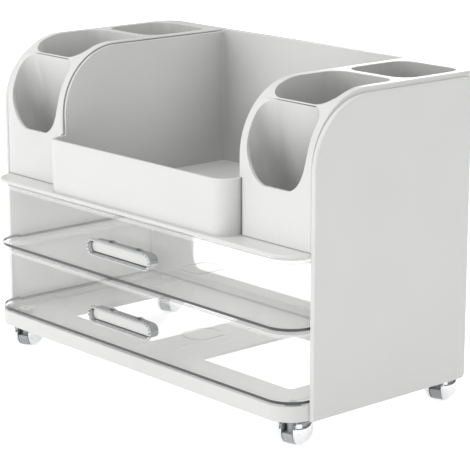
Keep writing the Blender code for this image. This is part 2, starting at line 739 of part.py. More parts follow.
def brush_tower(name, side):
    """A tower with a curved front, three cups and a flange over the side wall of the bin."""
    foot = TRAY_TOP + CLEARANCE
    outer = INNER_HALF - CLEARANCE
    profile = arched_profile(TOWER_FRONT, REAR, foot, RIM_TOP, TOWER_ARCH_RADIUS)
    low_x, high_x = sorted((side * FLANGE_EDGE, side * outer))
    tower = solid(name, prism(profile, low_x, high_x, "X"), SATIN_WHITE)

    # Rounded rear corner on the outer side
    corner = RIM_CORNER_RADIUS
    plan = [(side * (FLANGE_EDGE - OVERRUN), TOWER_FRONT - OVERRUN), (side * outer, TOWER_FRONT - OVERRUN)]
    middle = (side * (outer - corner), REAR - corner)
    plan += arc(middle, (side * corner, corner), 0, 90, CORNER_STEPS)
    plan += [(side * (FLANGE_EDGE - OVERRUN), REAR)]
    keep(tower, "plan", prism(plan, foot - OVERRUN, RIM_TOP + OVERRUN))

    # Recess under the flange beside the bin
    drop = FLANGE_THICKNESS
    arch = TOWER_ARCH_RADIUS - drop
    recess = [
        (TOWER_FRONT - OVERRUN, foot - OVERRUN),
        (REAR + OVERRUN, foot - OVERRUN),
        (REAR + OVERRUN, RIM_TOP - drop),
    ]
    turn = (TOWER_FRONT + TOWER_ARCH_RADIUS, RIM_TOP - TOWER_ARCH_RADIUS)
    recess += arc(turn, (arch, arch), 90, 180, ARCH_STEPS)
    recess += [(TOWER_FRONT + drop, FLANGE_LOW), (TOWER_FRONT - OVERRUN, FLANGE_LOW)]
    near, far = sorted((side * (FLANGE_EDGE - OVERRUN), side * TOWER_INNER))
    side_recess = prism(recess, near, far, "X")

    # Recess under the rear of the flange, round the rear corner
    corner = REAR_CORNER_RADIUS
    rear = [(side * (FLANGE_EDGE - OVERRUN), BODY_REAR)]
    rear += arc((side * (outer - corner), BODY_REAR - corner), (side * corner, corner), 90, 0, CORNER_STEPS)
    rear += [
        (side * (outer + OVERRUN), BODY_REAR - corner),
        (side * (outer + OVERRUN), REAR + OVERRUN),
        (side * (FLANGE_EDGE - OVERRUN), REAR + OVERRUN),
    ]
    rear_recess = prism(rear, foot - OVERRUN, RIM_TOP - drop)
    cut(tower, "side_recess", side_recess)
    cut(tower, "rear_recess", rear_recess)
    cut(tower, "cups", joined(cup_shapes(side)))
    cut(tower, "window", front_window(side))
    pegs = []
    for x, y in peg_places(side):
        pegs.append(rod(PEG_RADIUS, TRAY_LOW + CLEARANCE, foot + CUP_FLOOR / 2, PIN_STEPS, "Z", (x, y, 0)))
    fuse(tower, "pegs", joined(pegs))
    smooth(tower)


# Drawers and pulls


def drawer(name, low):
    """A clear drawer around an origin at its front, bottom and middle."""
    proud = DRAWER_RIM_PROUD
    wall = DRAWER_WALL
    radius = FRONT_CORNER_RADIUS
    shell = drawer_outline(
        proud,
        DRAWER_CHEEK_DEPTH,
        DRAWER_LENGTH - proud,
        DRAWER_HALF - proud,
        DRAWER_BODY_HALF,
        radius - proud,
        DRAWER_REAR_RADIUS,
    )
    inside = drawer_outline(
        proud + wall,
        DRAWER_CHEEK_DEPTH - wall,
        DRAWER_LENGTH - proud - wall,
        DRAWER_HALF - proud - wall,
        DRAWER_BODY_HALF - wall,
        radius - proud - wall,
        DRAWER_REAR_RADIUS - wall,
    )
    rim = rounded_outline(-DRAWER_HALF, DRAWER_HALF, 0, DRAWER_LENGTH, radius, DRAWER_REAR_RADIUS)
    rim_low = DRAWER_HEIGHT - DRAWER_RIM_THICKNESS
    shell_top = rim_low + DRAWER_RIM_THICKNESS / 2
    item = solid(name, prism(shell, 0, shell_top), CLEAR, (0, FRONT, low))
    fuse(item, "rim", prism(rim, rim_low, DRAWER_HEIGHT))
    ribs = []
    rear = DRAWER_LENGTH - DRAWER_RIB_REAR
    side_rib = DRAWER_BODY_HALF - DRAWER_SIDE_RIB_INSET
    for x, front in ((DRAWER_RIB_SPACING / 2, DRAWER_RIB_FRONT), (side_rib, DRAWER_SIDE_RIB_FRONT)):
        for middle in (-x, x):
            near, far = middle - DRAWER_RIB_WIDTH / 2, middle + DRAWER_RIB_WIDTH / 2
            ribs.append(block((near, front, -DRAWER_RIB_DEPTH), (far, rear, DRAWER_FLOOR / 2)))
    fuse(item, "ribs", joined(ribs))
    mark = helper(item, "gate", rod(GATE_RADIUS, -OVERRUN, GATE_DEPTH, GATE_STEPS, "Z", (0, GATE_SETBACK, 0)))
    beside = DRAWER_RIB_SPACING / 2 - DRAWER_RIB_WIDTH
    reach = GATE_RADIUS + OVERRUN
    between_ribs = block(
        (-beside, GATE_SETBACK - reach, -OVERRUN - OVERRUN), (beside, GATE_SETBACK + reach, OVERRUN)
    )
    keep(mark, "between_ribs", between_ribs)
    combine(item, mark, "DIFFERENCE")
    cut(item, "inside", prism(inside, DRAWER_FLOOR, DRAWER_HEIGHT + OVERRUN))
    holes = []
    for side in (-1, 1):
        middle = (side * SCREW_SPACING / 2, 0, PULL_LIFT)
        holes.append(rod(SCREW_RADIUS + CLEARANCE, -OVERRUN, wall + OVERRUN, SCREW_STEPS, "Y", middle))
    cut(item, "screw_holes", joined(holes))
    smooth(item)


def pull(name, place):
    """A cast pull with a beaded rim, around an origin on the drawer's front wall."""
    back = -CLEARANCE
    bead_line = back - PULL_DEPTH + BEAD_RADIUS
    lip_back = bead_line + PULL_LIP_THICKNESS
    length, height = PULL_LENGTH - 2 * PULL_LIP_INSET, PULL_HEIGHT - 2 * PULL_LIP_INSET
    item = solid(name, prism(stadium(length, height), bead_line, lip_back, "Y"), CHROME, place)
    length, height = PULL_LENGTH - 2 * PULL_SHANK_INSET, PULL_HEIGHT - 2 * PULL_SHANK_INSET
    shank_front = lip_back - PULL_LIP_THICKNESS / 2
    fuse(item, "shank", prism(stadium(length, height), shank_front, back, "Y"))
    feet = []
    bores = []
    foot_radius = height / 2 + PULL_FOOT_RISE
    bore_end = back - SCREW_GRIP - CLEARANCE
    for side in (-1, 1):
        middle = (side * SCREW_SPACING / 2, 0, 0)
        feet.append(rod(foot_radius, back - PULL_FOOT_DEPTH, back, SCREW_STEPS, "Y", middle))
        bores.append(rod(SCREW_RADIUS + CLEARANCE, bore_end, back + OVERRUN, SCREW_STEPS, "Y", middle))
    fuse(item, "feet", joined(feet))
    bead_length, bead_height = PULL_LENGTH - 2 * BEAD_RADIUS, PULL_HEIGHT - 2 * BEAD_RADIUS
    fuse(item, "beads", bead_chain(bead_length, bead_height, bead_line))
    recess = prism(stadium(*recess_size()), bead_line - OVERRUN, bead_line + PULL_RECESS_DEPTH, "Y")
    cut(item, "recess", recess)
    cut(item, "bores", joined(bores))
    smooth(item)


def recess_size():
    """Length and height of the recess within the beads of a pull."""
    return PULL_LENGTH - 4 * BEAD_RADIUS, PULL_HEIGHT - 4 * BEAD_RADIUS


def pull_inlay(name, place):
    """The pearly plate in the recess of a pull."""
    length, height = recess_size()
    rear = BEAD_RADIUS - PULL_DEPTH + PULL_RECESS_DEPTH - 2 * CLEARANCE
    front = rear - INLAY_THICKNESS
    outline = stadium(length - 2 * CLEARANCE, height - 2 * CLEARANCE)
    shape = prism(outline, front, rear, "Y")
    rim = [e for e in shape.edges if all(abs(v.co.y - front) < MERGE_DISTANCE for v in e.verts)]
    bmesh.ops.bevel(shape, geom=rim, offset=INLAY_EDGE, segments=1, affect="EDGES")
    item = solid(name, outward(shape), PEARL, place)
    smooth(item)


def pull_screw(name, place):
    """A pan head screw through the drawer's front wall into a pull, around the wall's outer face."""
    seat = DRAWER_WALL + CLEARANCE
    dome = SCREW_HEAD_HEIGHT
    profile = [(-CLEARANCE - SCREW_GRIP, 0), (-CLEARANCE - SCREW_GRIP, SCREW_RADIUS), (seat, SCREW_RADIUS)]
    profile += [(seat, SCREW_HEAD_RADIUS)]
    profile += [
        (seat + dome * math.sin(a), SCREW_HEAD_RADIUS * math.cos(a)) for a in (math.pi / 6, math.pi / 3)
    ]
    profile += [(seat + dome, 0)]
    item = solid(name, turned(profile, SCREW_STEPS, "Y"), ZINC, place)
    slot = block(
        (-SCREW_HEAD_RADIUS - OVERRUN, seat + dome - SCREW_SLOT_DEPTH, -SCREW_SLOT_WIDTH / 2),
        (SCREW_HEAD_RADIUS + OVERRUN, seat + dome + OVERRUN, SCREW_SLOT_WIDTH / 2),
    )
    cut(item, "slot", slot)
    smooth(item)


# Casters


def caster_fork(name, place, turn):
    """The body between the two wheels, around the swivel axis at the height of the axle."""
    disc = rod(FORK_RADIUS, -FORK_HALF_WIDTH, FORK_HALF_WIDTH, WHEEL_STEPS, "X", (0, CASTER_TRAIL, 0))
    item = solid(name, disc, SILVER_GREY, place, turn)
    reach = FORK_HALF_WIDTH + OVERRUN
    step_front = CASTER_TRAIL - FORK_RADIUS - OVERRUN
    cut(item, "step", block((-reach, step_front, -FORK_STEP_DROP), (reach, 0, FORK_RADIUS + OVERRUN)))
    collar_low = WEB_LOW - CLEARANCE - PIN_COLLAR_THICKNESS
    neck_top = collar_low - CLEARANCE - WHEEL_RADIUS
    fuse(item, "neck", rod(FORK_NECK_RADIUS, -FORK_STEP_DROP - AXLE_RADIUS, neck_top, PIN_STEPS))
    axle_hole = rod(AXLE_RADIUS + CLEARANCE, -reach, reach, PIN_STEPS, "X", (0, CASTER_TRAIL, 0))
    pin_hole = rod(PIN_RADIUS + CLEARANCE, neck_top - PIN_SINK - CLEARANCE, neck_top + OVERRUN, PIN_STEPS)
    cut(item, "axle_hole", axle_hole)
    cut(item, "pin_hole", pin_hole)
    smooth(item)


def caster_pin(name, place):
    """The steel pin that is pressed into the base and carries the fork, around its lower end."""
    collar_low = WEB_LOW - CLEARANCE - PIN_COLLAR_THICKNESS
    neck_top = collar_low - CLEARANCE
    low = neck_top - PIN_SINK
    top = BASE_TOP - SOCKET_HEADROOM
    profile = [(0, 0), (0, PIN_RADIUS), (collar_low - low, PIN_RADIUS), (collar_low - low, PIN_COLLAR_RADIUS)]
    profile += [(collar_low + PIN_COLLAR_THICKNESS - low, PIN_COLLAR_RADIUS)]
    profile += [(collar_low + PIN_COLLAR_THICKNESS - low, PIN_RADIUS), (top - low, PIN_RADIUS), (top - low, 0)]
    smooth(solid(name, turned(profile, PIN_STEPS), ZINC, (place[0], place[1], low)))


def caster_wheel(name, side, place, turn):
    """A domed wheel, around the middle of the ball, with a blind axle hole on its inner face."""
    inner = FORK_HALF_WIDTH + WHEEL_GAP
    hole = AXLE_RADIUS + CLEARANCE
    bottom = AXLE_HALF_LENGTH + CLEARANCE
    shoulder = WHEEL_SHOULDER
    outer = inner + WHEEL_TREAD
    profile = [(bottom, 0), (bottom, hole), (inner, hole), (inner, WHEEL_RADIUS - shoulder)]
    profile += [(inner + shoulder, WHEEL_RADIUS), (outer - shoulder, WHEEL_RADIUS)]
    profile += [(outer, WHEEL_RADIUS - shoulder)]
    start = math.degrees(math.acos(outer / BALL_RADIUS))
    profile += arc((0, 0), (BALL_RADIUS, BALL_RADIUS), start, 0, CUP_STEPS)[:-1]
    profile += [(BALL_RADIUS, 0)]
    shape = turned([(side * along, radius) for along, radius in profile], WHEEL_STEPS, "X")
    smooth(solid(name, shape, CHROME, place, turn))


def caster(corner, x, y, turn):
    """Pin, fork, axle and two wheels of one caster."""
    caster_pin(f"{corner}_caster_pin", (x, y))
    caster_fork(f"{corner}_caster_fork", (x, y, WHEEL_RADIUS), turn)
    middle = (x - CASTER_TRAIL * math.sin(turn), y + CASTER_TRAIL * math.cos(turn), WHEEL_RADIUS)
    axle = rod(AXLE_RADIUS, -AXLE_HALF_LENGTH, AXLE_HALF_LENGTH, PIN_STEPS, "X")
    smooth(solid(f"{corner}_caster_axle", axle, ZINC, middle, turn))
    for word, side in (("left", -1), ("right", 1)):
        caster_wheel(f"{corner}_caster_{word}_wheel", side, middle, turn)


def main():
    """Build every piece."""
    clear_scene()
    base_tray()
    side_panel("left_side_panel", -1)
    side_panel("right_side_panel", 1)
    rear_frame()
    top_tray()
    brush_tower("left_brush_tower", -1)
    brush_tower("right_brush_tower", 1)
    for level, low in (("lower", LOWER_DRAWER_LOW), ("upper", UPPER_DRAWER_LOW)):
        drawer(f"{level}_drawer", low)
        wall_face = FRONT + DRAWER_RIM_PROUD
        place = (0, wall_face, low + PULL_LIFT)
        pull(f"{level}_pull", place)
        pull_inlay(f"{level}_pull_inlay", place)
        for word, side in (("left", -1), ("right", 1)):
            screw_place = (side * SCREW_SPACING / 2, wall_face, low + PULL_LIFT)
            pull_screw(f"{level}_pull_{word}_screw", screw_place)
    for corner, (x, y, turn) in caster_places().items():
        caster(corner, x, y, turn)


main()
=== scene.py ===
"""Brush holder with two clear drawers: dressed pieces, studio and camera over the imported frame."""

import functools
import json
import logging
import math
from collections.abc import Callable, Iterable
from dataclasses import dataclass, field
from enum import Enum

import bpy
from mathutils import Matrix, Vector

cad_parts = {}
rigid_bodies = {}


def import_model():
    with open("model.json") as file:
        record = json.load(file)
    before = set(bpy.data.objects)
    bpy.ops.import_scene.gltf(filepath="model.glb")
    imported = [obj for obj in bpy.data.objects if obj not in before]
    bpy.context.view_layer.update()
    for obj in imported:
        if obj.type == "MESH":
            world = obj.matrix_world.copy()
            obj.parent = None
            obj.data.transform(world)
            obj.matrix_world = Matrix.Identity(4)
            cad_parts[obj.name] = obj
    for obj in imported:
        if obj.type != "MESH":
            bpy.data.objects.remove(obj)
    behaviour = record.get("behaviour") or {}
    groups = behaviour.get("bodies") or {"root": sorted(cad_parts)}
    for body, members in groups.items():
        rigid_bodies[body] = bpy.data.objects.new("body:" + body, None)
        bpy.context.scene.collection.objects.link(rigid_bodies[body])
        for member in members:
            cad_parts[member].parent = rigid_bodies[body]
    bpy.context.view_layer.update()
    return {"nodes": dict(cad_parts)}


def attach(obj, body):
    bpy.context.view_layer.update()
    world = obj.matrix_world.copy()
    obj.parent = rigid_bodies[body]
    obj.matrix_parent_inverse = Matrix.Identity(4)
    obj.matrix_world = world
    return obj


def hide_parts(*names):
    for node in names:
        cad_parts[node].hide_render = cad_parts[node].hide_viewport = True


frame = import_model()

Point = tuple[float, float, float]
Colour = tuple[float, float, float, float]
Shade = Colour | bpy.types.NodeSocket
ORIGIN = (0.0, 0.0, 0.0)
OVERRUN = 0.004  # how far a cutter reaches past what it cuts
SAME = 0.00002  # lengths nearer than this count as one
MERGED = 0.00001  # points nearer than this are merged
WHITE = (1.0, 1.0, 1.0, 1.0)
SENSOR = 36.0  # width of the camera's sensor in millimetres
RAYS = ("Camera", "Glossy", "Transmission")
log = logging.getLogger("brush_holder")


class Slot(Enum):
    """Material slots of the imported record."""

    SATIN = "satin_white_plastic"
    CLEAR = "clear_plastic"
    CHROME = "chrome"
    PEARL = "pearl_inlay"
    PLATED = "plated_plastic"
    GREY = "silver_grey_plastic"
    ZINC = "zinc_plated_steel"


class Axis(Enum):
    """Directions in which a rod can lie, as the turn from upright."""

    X = (0.0, math.pi / 2, 0.0)
    Y = (-math.pi / 2, 0.0, 0.0)
    Z = (0.0, 0.0, 0.0)


class Kind(Enum):
    """What a graph belongs to."""

    MATERIAL = "material"
    WORLD = "world"


# Shader graph


@dataclass(frozen=True)
class Signal:
    """A number that varies over a surface, read from a socket of a graph."""

    graph: "Graph"
    socket: bpy.types.NodeSocket

    def _math(self, operation: str, first: "Signal | float", second: "Signal | float") -> "Signal":
        """The result of one Math node."""
        made = self.graph.node("ShaderNodeMath", {"operation": operation}, {0: first, 1: second})
        return Signal(self.graph, made.outputs[0])

    def __add__(self, other: "Signal | float") -> "Signal":
        """Sum."""
        return self._math("ADD", self, other)

    def __radd__(self, other: float) -> "Signal":
        """Sum with a plain number first."""
        return self._math("ADD", other, self)

    def __sub__(self, other: "Signal | float") -> "Signal":
        """Difference."""
        return self._math("SUBTRACT", self, other)

    def __rsub__(self, other: float) -> "Signal":
        """Difference from a plain number."""
        return self._math("SUBTRACT", other, self)

    def __mul__(self, other: "Signal | float") -> "Signal":
        """Product."""
        return self._math("MULTIPLY", self, other)

    def __rmul__(self, other: float) -> "Signal":
        """Product with a plain number first."""
        return self._math("MULTIPLY", other, self)

    def __mod__(self, other: float) -> "Signal":
        """Rest after division by a plain number."""
        return self._math("MODULO", self, other)

    def clamped(self) -> "Signal":
        """The signal kept between 0 and 1."""
        return self._math("MINIMUM", self._math("MAXIMUM", self, 0.0), 1.0)


class Graph:
    """The node tree of one material, or of the world."""

    def __init__(self, name: str, kind: Kind = Kind.MATERIAL) -> None:
        """Start an empty graph.

        Args:
            name: its name.
            kind: what it belongs to.
        """
        blocks = bpy.data.worlds if kind is Kind.WORLD else bpy.data.materials
        self.material = blocks.new(name)
        self.material.use_nodes = True
        self.tree = self.material.node_tree
        self.tree.nodes.clear()

    def node(
        self,
        kind: str,
        settings: dict[str, object] | None = None,
        inputs: dict[str | int, object] | None = None,
    ) -> bpy.types.Node:
        """Add one node.

        Args:
            kind: type of the node.
            settings: its properties.
            inputs: values or links of its sockets.

        Returns:
            The node.
        """
        made = self.tree.nodes.new(kind)
        for key, value in (settings or {}).items():
            setattr(made, key, value)
        for key, value in (inputs or {}).items():
            socket = made.inputs[key]
            source = value.socket if isinstance(value, Signal) else value
            if isinstance(source, bpy.types.NodeSocket):
                self.tree.links.new(source, socket)
            else:
                socket.default_value = value
        return made

    def place(self, scale: Point = (1.0, 1.0, 1.0)) -> bpy.types.NodeSocket:
        """Object coordinates stretched by a scale."""
        source = self.node("ShaderNodeTexCoord").outputs["Object"]
        return self.node("ShaderNodeMapping", None, {"Vector": source, "Scale": scale}).outputs[0]

    def noise(self, size: float, detail: float, stretch: Point = (1.0, 1.0, 1.0)) -> Signal:
        """Noise from 0 to 1 with features of a size in metres."""
        inputs = {"Vector": self.place(stretch), "Scale": 1.0 / size, "Detail": detail, "Roughness": 0.5}
        return Signal(self, self.node("ShaderNodeTexNoise", None, inputs).outputs[0])

    def rise(self, vector: bpy.types.NodeSocket) -> Signal:
        """The upright part of a vector."""
        return Signal(self, self.node("ShaderNodeSeparateXYZ", None, {"Vector": vector}).outputs[2])

    def lie(self) -> Signal:
        """How far a face looks up, from -1 to 1."""
        return self.rise(self.node("ShaderNodeNewGeometry").outputs["Normal"])

    def band(self, value: Signal, low: float, high: float, soft: float) -> Signal:
        """A soft-edged band of a value.

        Args:
            value: the value.
            low: where the band starts.
            high: where it ends.
            soft: width of each soft edge.

        Returns:
            1 inside the band and 0 outside it.
        """
        rising = ((value - low) * (1.0 / soft) + 0.5).clamped()
        falling = ((high - value) * (1.0 / soft) + 0.5).clamped()
        return rising * falling

    def blend(self, amount: Signal, low: Shade, high: Shade) -> bpy.types.NodeSocket:
        """The low colour where the amount is 0, and the high one where it is 1."""
        return self.node("ShaderNodeMix", {"data_type": "RGBA"}, {0: amount, 6: low, 7: high}).outputs[2]

    def bump(self, height: Signal, depth: float) -> bpy.types.NodeSocket:
        """The normal over a relief from 0 to 1 with a depth in metres."""
        inputs = {"Strength": 1.0, "Distance": depth, "Height": height}
        return self.node("ShaderNodeBump", None, inputs).outputs[0]

    def principled(self, inputs: dict[str | int, object]) -> bpy.types.NodeSocket:
        """The socket of one Principled shader."""
        return self.node("ShaderNodeBsdfPrincipled", None, inputs).outputs[0]

    def mixed(self, amount: Signal, low: Shade, high: Shade) -> bpy.types.NodeSocket:
        """The low shader where the amount is 0, and the high one where it is 1."""
        return self.node("ShaderNodeMixShader", None, {0: amount.clamped(), 1: low, 2: high}).outputs[0]

    def closed(self, shader: bpy.types.NodeSocket) -> bpy.types.Material:
        """The material, with a shader on its surface."""
        self.node("ShaderNodeOutputMaterial", None, {"Surface": shader})
        return self.material

    def surface(self, inputs: dict[str | int, object]) -> bpy.types.Material:
        """The material, with one Principled shader."""
        return self.closed(self.principled(inputs))


# Finishes


@dataclass(frozen=True)
class SatinPlastic:
    """Moulded white plastic with a fine satin grain."""

    colour: Colour = (0.735, 0.738, 0.728, 1.0)
    shade: Colour = (0.705, 0.709, 0.70, 1.0)
    # painted shade: the colour mixed into recesses where ambient occlusion finds them
    recess: Colour = (0.48, 0.482, 0.475, 1.0)
    reach: float = 0.07
    roughness: float = 0.34
    grain: float = 0.00035

    def material(self) -> bpy.types.Material:
        """Soft tone drift, a satin sheen that varies, a fine moulded grain and painted shade in recesses
        found by ambient occlusion, left off deep spots and faces that look up.

        Returns:
            The material.
        """
        graph = Graph("satin_white_plastic")
        drift = (graph.noise(0.06, 1.0) * 1.6 - 0.3).clamped()
        grain = graph.noise(self.grain, 2.0)
        sheen = graph.noise(0.012, 3.0)
        settings = {"only_local": True, "samples": 12}
        # Painted shade: ambient occlusion darkens recesses; deep spots and faces that look up are left
        # light.
        occlusion = graph.node("ShaderNodeAmbientOcclusion", settings, {"Distance": self.reach})
        free = Signal(graph, occlusion.outputs["AO"])
        deep = ((0.35 - free) * 4.0).clamped()
        unshaded = (((free - 0.42) * 1.8).clamped() + deep + graph.lie().clamped()).clamped()
        outer = graph.blend(drift, self.colour, self.shade)
        return graph.surface(
            {
                "Base Color": graph.blend(unshaded, self.recess, outer),
                "Roughness": sheen * 0.10 + (self.roughness - 0.05) + grain * 0.04,
                "Normal": graph.bump(grain, 0.0000035),
                "IOR": 1.49,
            }
        )


@dataclass(frozen=True)
class ClearPlastic:
    """Clear injection-moulded plastic with a painted glow in its walls and painted shadow along its foot
    and under its rim.
    """

    colour: Colour = (0.88, 0.885, 0.88, 1.0)
    # colour of the painted gap shadow along the foot and under the rim
    edge: Colour = (0.03, 0.031, 0.033, 1.0)
    painted_glow_colour: Colour = (1.0, 1.0, 0.99, 1.0)
    mirrored: Colour = (0.95, 0.95, 0.95, 1.0)
    # strength of the painted glow: the walls give light though they are no lamp
    glow: float = 0.45
    roughness: float = 0.05
    veil: float = 0.045
    lowest: float = 0.0319
    pitch: float = 0.0483
    rim_low: float = 0.0437
    rim_top: float = 0.0470

    def material(self) -> bpy.types.Material:
        """A clear wall with faint flow lines and haze, a painted glow, a painted light band along the rim
        and painted gap shadows along the foot and rim.

        Returns:
            The material.
        """
        graph = Graph("clear_plastic")
        flow = graph.noise(0.014, 2.0, (0.35, 1.0, 1.0))
        haze = (graph.noise(0.03, 3.0) * 2.2 - 0.8).clamped()
        over = (graph.rise(graph.place()) - (self.lowest - 0.001)) % self.pitch - 0.001
        # Painted gap shadow: a band at each drawer's foot and thin lines at the rim, on upright faces only.
        foot = graph.band(over, -0.0002, 0.0021, 0.0002)
        # Painted highlight: a band along the rim where more of the glowing body shows.
        rim = graph.band(over, self.rim_low, self.rim_top, 0.0003)
        lines = graph.band(over, self.rim_low - 0.0004, self.rim_low + 0.0002, 0.0002)
        upper = graph.band(over, self.rim_top - 0.0005, self.rim_top + 0.0002, 0.0002)
        lie = graph.lie()
        standing = (1.45 - lie * lie * 1.5).clamped()
        weight = graph.node("ShaderNodeLayerWeight", None, {"Blend": 0.5})
        facing = Signal(graph, weight.outputs["Facing"])
        square = facing * facing
        painted_gap_shadow = (foot + lines * 0.5 + upper * 0.8).clamped() * standing
        # The body glows with painted light and carries the painted gap shadow in its colour.
        body = graph.principled(
            {
                "Base Color": graph.blend(painted_gap_shadow, self.colour, self.edge),
                "Roughness": 0.3,
                "Emission Color": graph.blend(painted_gap_shadow, self.painted_glow_colour, self.edge),
                "Emission Strength": self.glow,
            }
        )
        mirror = graph.principled(
            {
                "Base Color": self.mirrored,
                "Metallic": 1.0,
                "Roughness": haze * 0.05 + self.roughness,
                "Normal": graph.bump(flow, 0.00003),
            }
        )
        through = graph.node("ShaderNodeBsdfTransparent", None, {"Color": WHITE}).outputs[0]
        wall = graph.mixed(haze * 0.012 + rim * 0.10 + painted_gap_shadow * 0.95 + self.veil, through, body)
        return graph.closed(graph.mixed(square * square * 0.22 + 0.012, wall, mirror))


@dataclass(frozen=True)
class Chrome:
    """Bright chrome plating over a polished casting."""

    colour: Colour = (0.58, 0.585, 0.59, 1.0)
    dull: Colour = (0.46, 0.465, 0.475, 1.0)
    roughness: float = 0.07

    def material(self) -> bpy.types.Material:
        """Plating with a faint polish haze and orange-peel relief.

        Returns:
            The material.
        """
        graph = Graph("chrome")
        haze = graph.noise(0.004, 3.0)
        peel = graph.noise(0.0012, 2.0)
        return graph.surface(
            {
                "Base Color": graph.blend(haze, self.colour, self.dull),
                "Metallic": 1.0,
                "Roughness": haze * 0.08 + self.roughness,
                "Normal": graph.bump(peel, 0.000004),
            }
        )


@dataclass(frozen=True)
class PlatedPlastic:
    """Chrome-look plating on moulded wheels."""

    colour: Colour = (0.66, 0.665, 0.67, 1.0)
    scuffed: Colour = (0.52, 0.525, 0.535, 1.0)
    roughness: float = 0.10

    def material(self) -> bpy.types.Material:
        """Plating with light scuffs along the running direction.

        Returns:
            The material.
        """
        graph = Graph("plated_plastic")
        scuff = (graph.noise(0.0018, 3.0, (0.3, 1.0, 1.0)) * 3.0 - 1.6).clamped()
        return graph.surface(
            {
                "Base Color": graph.blend(scuff, self.colour, self.scuffed),
                "Metallic": 1.0,
                "Roughness": scuff * 0.16 + self.roughness,
                "Normal": graph.bump(scuff, 0.000006),
            }
        )


@dataclass(frozen=True)
class Pearl:
    """White mother-of-pearl plate under a clear coat."""

    white: Colour = (0.72, 0.718, 0.705, 1.0)
    rose: Colour = (0.69, 0.65, 0.645, 1.0)
    green: Colour = (0.66, 0.69, 0.675, 1.0)
    roughness: float = 0.2

    def material(self) -> bpy.types.Material:
        """Wavy nacre bands that shift between warm and cool white.

        Returns:
            The material.
        """
        graph = Graph("pearl_inlay")
        inputs = {"Vector": graph.place((1.0, 1.0, 2.2)), "Scale": 60.0, "Distortion": 5.0, "Detail": 2.0}
        bands = Signal(graph, graph.node("ShaderNodeTexWave", None, inputs).outputs[1])
        patches = graph.noise(0.006, 2.0)
        warm = graph.blend(bands * 0.05, self.white, self.rose)
        cool = (patches * 2.4 - 0.9).clamped() * 0.3
        return graph.surface(
            {
                "Base Color": graph.blend(cool, warm, self.green),
                "Roughness": bands * 0.03 + self.roughness,
                "Coat Weight": patches * 0.2 + 0.2,
                "Coat Roughness": 0.05,
                "Normal": graph.bump(patches, 0.000006),
            }
        )


@dataclass(frozen=True)
class GreyPlastic:
    """Silver-grey moulded plastic of the caster forks."""

    colour: Colour = (0.42, 0.43, 0.44, 1.0)
    flake: Colour = (0.58, 0.59, 0.60, 1.0)
    roughness: float = 0.32

    def material(self) -> bpy.types.Material:
        """Grey plastic with a fine metallic fleck.

        Returns:
            The material.
        """
        graph = Graph("silver_grey_plastic")
        fleck = (graph.noise(0.0003, 1.0) * 4.0 - 2.0).clamped()
        mould = graph.noise(0.003, 2.0)
        return graph.surface(
            {
                "Base Color": graph.blend(fleck, self.colour, self.flake),
                "Metallic": fleck * 0.5,
                "Roughness": mould * 0.12 + self.roughness,
                "Normal": graph.bump(mould, 0.00001),
            }
        )


@dataclass(frozen=True)
class ZincSteel:
    """Zinc-plated steel of the pins, axles and screws."""

    colour: Colour = (0.62, 0.63, 0.65, 1.0)
    spangle: Colour = (0.48, 0.50, 0.53, 1.0)
    roughness: float = 0.28

    def material(self) -> bpy.types.Material:
        """Plating with a fine crystal spangle.

        Returns:
            The material.
        """
        graph = Graph("zinc_plated_steel")
        cells = graph.node("ShaderNodeTexVoronoi", None, {"Vector": graph.place(), "Scale": 1600.0})
        spangle = (Signal(graph, cells.outputs[0]) * 1.4).clamped()
        return graph.surface(
            {
                "Base Color": graph.blend(spangle, self.colour, self.spangle),
                "Metallic": 1.0,
                "Roughness": spangle * 0.15 + self.roughness,
                "Normal": graph.bump(spangle, 0.000005),
            }
        )


class Palette:
    """Every finish, made once."""

    def __init__(self) -> None:
        """Build the materials."""
        self.materials = {
            Slot.SATIN: SatinPlastic().material(),
            Slot.CLEAR: ClearPlastic().material(),
            Slot.CHROME: Chrome().material(),
            Slot.PEARL: Pearl().material(),
            Slot.PLATED: PlatedPlastic().material(),
            Slot.GREY: GreyPlastic().material(),
            Slot.ZINC: ZincSteel().material(),
        }

    def dress(self, item: bpy.types.Object, slot: Slot) -> None:
        """Give an object one finish."""
        item.data.materials.clear()
        item.data.materials.append(self.materials[slot])


# Modelling


EdgeTest = Callable[[Vector, Vector], bool]


def near(value: float, wanted: float) -> bool:
    """Whether two lengths count as one."""
    return abs(value - wanted) < SAME


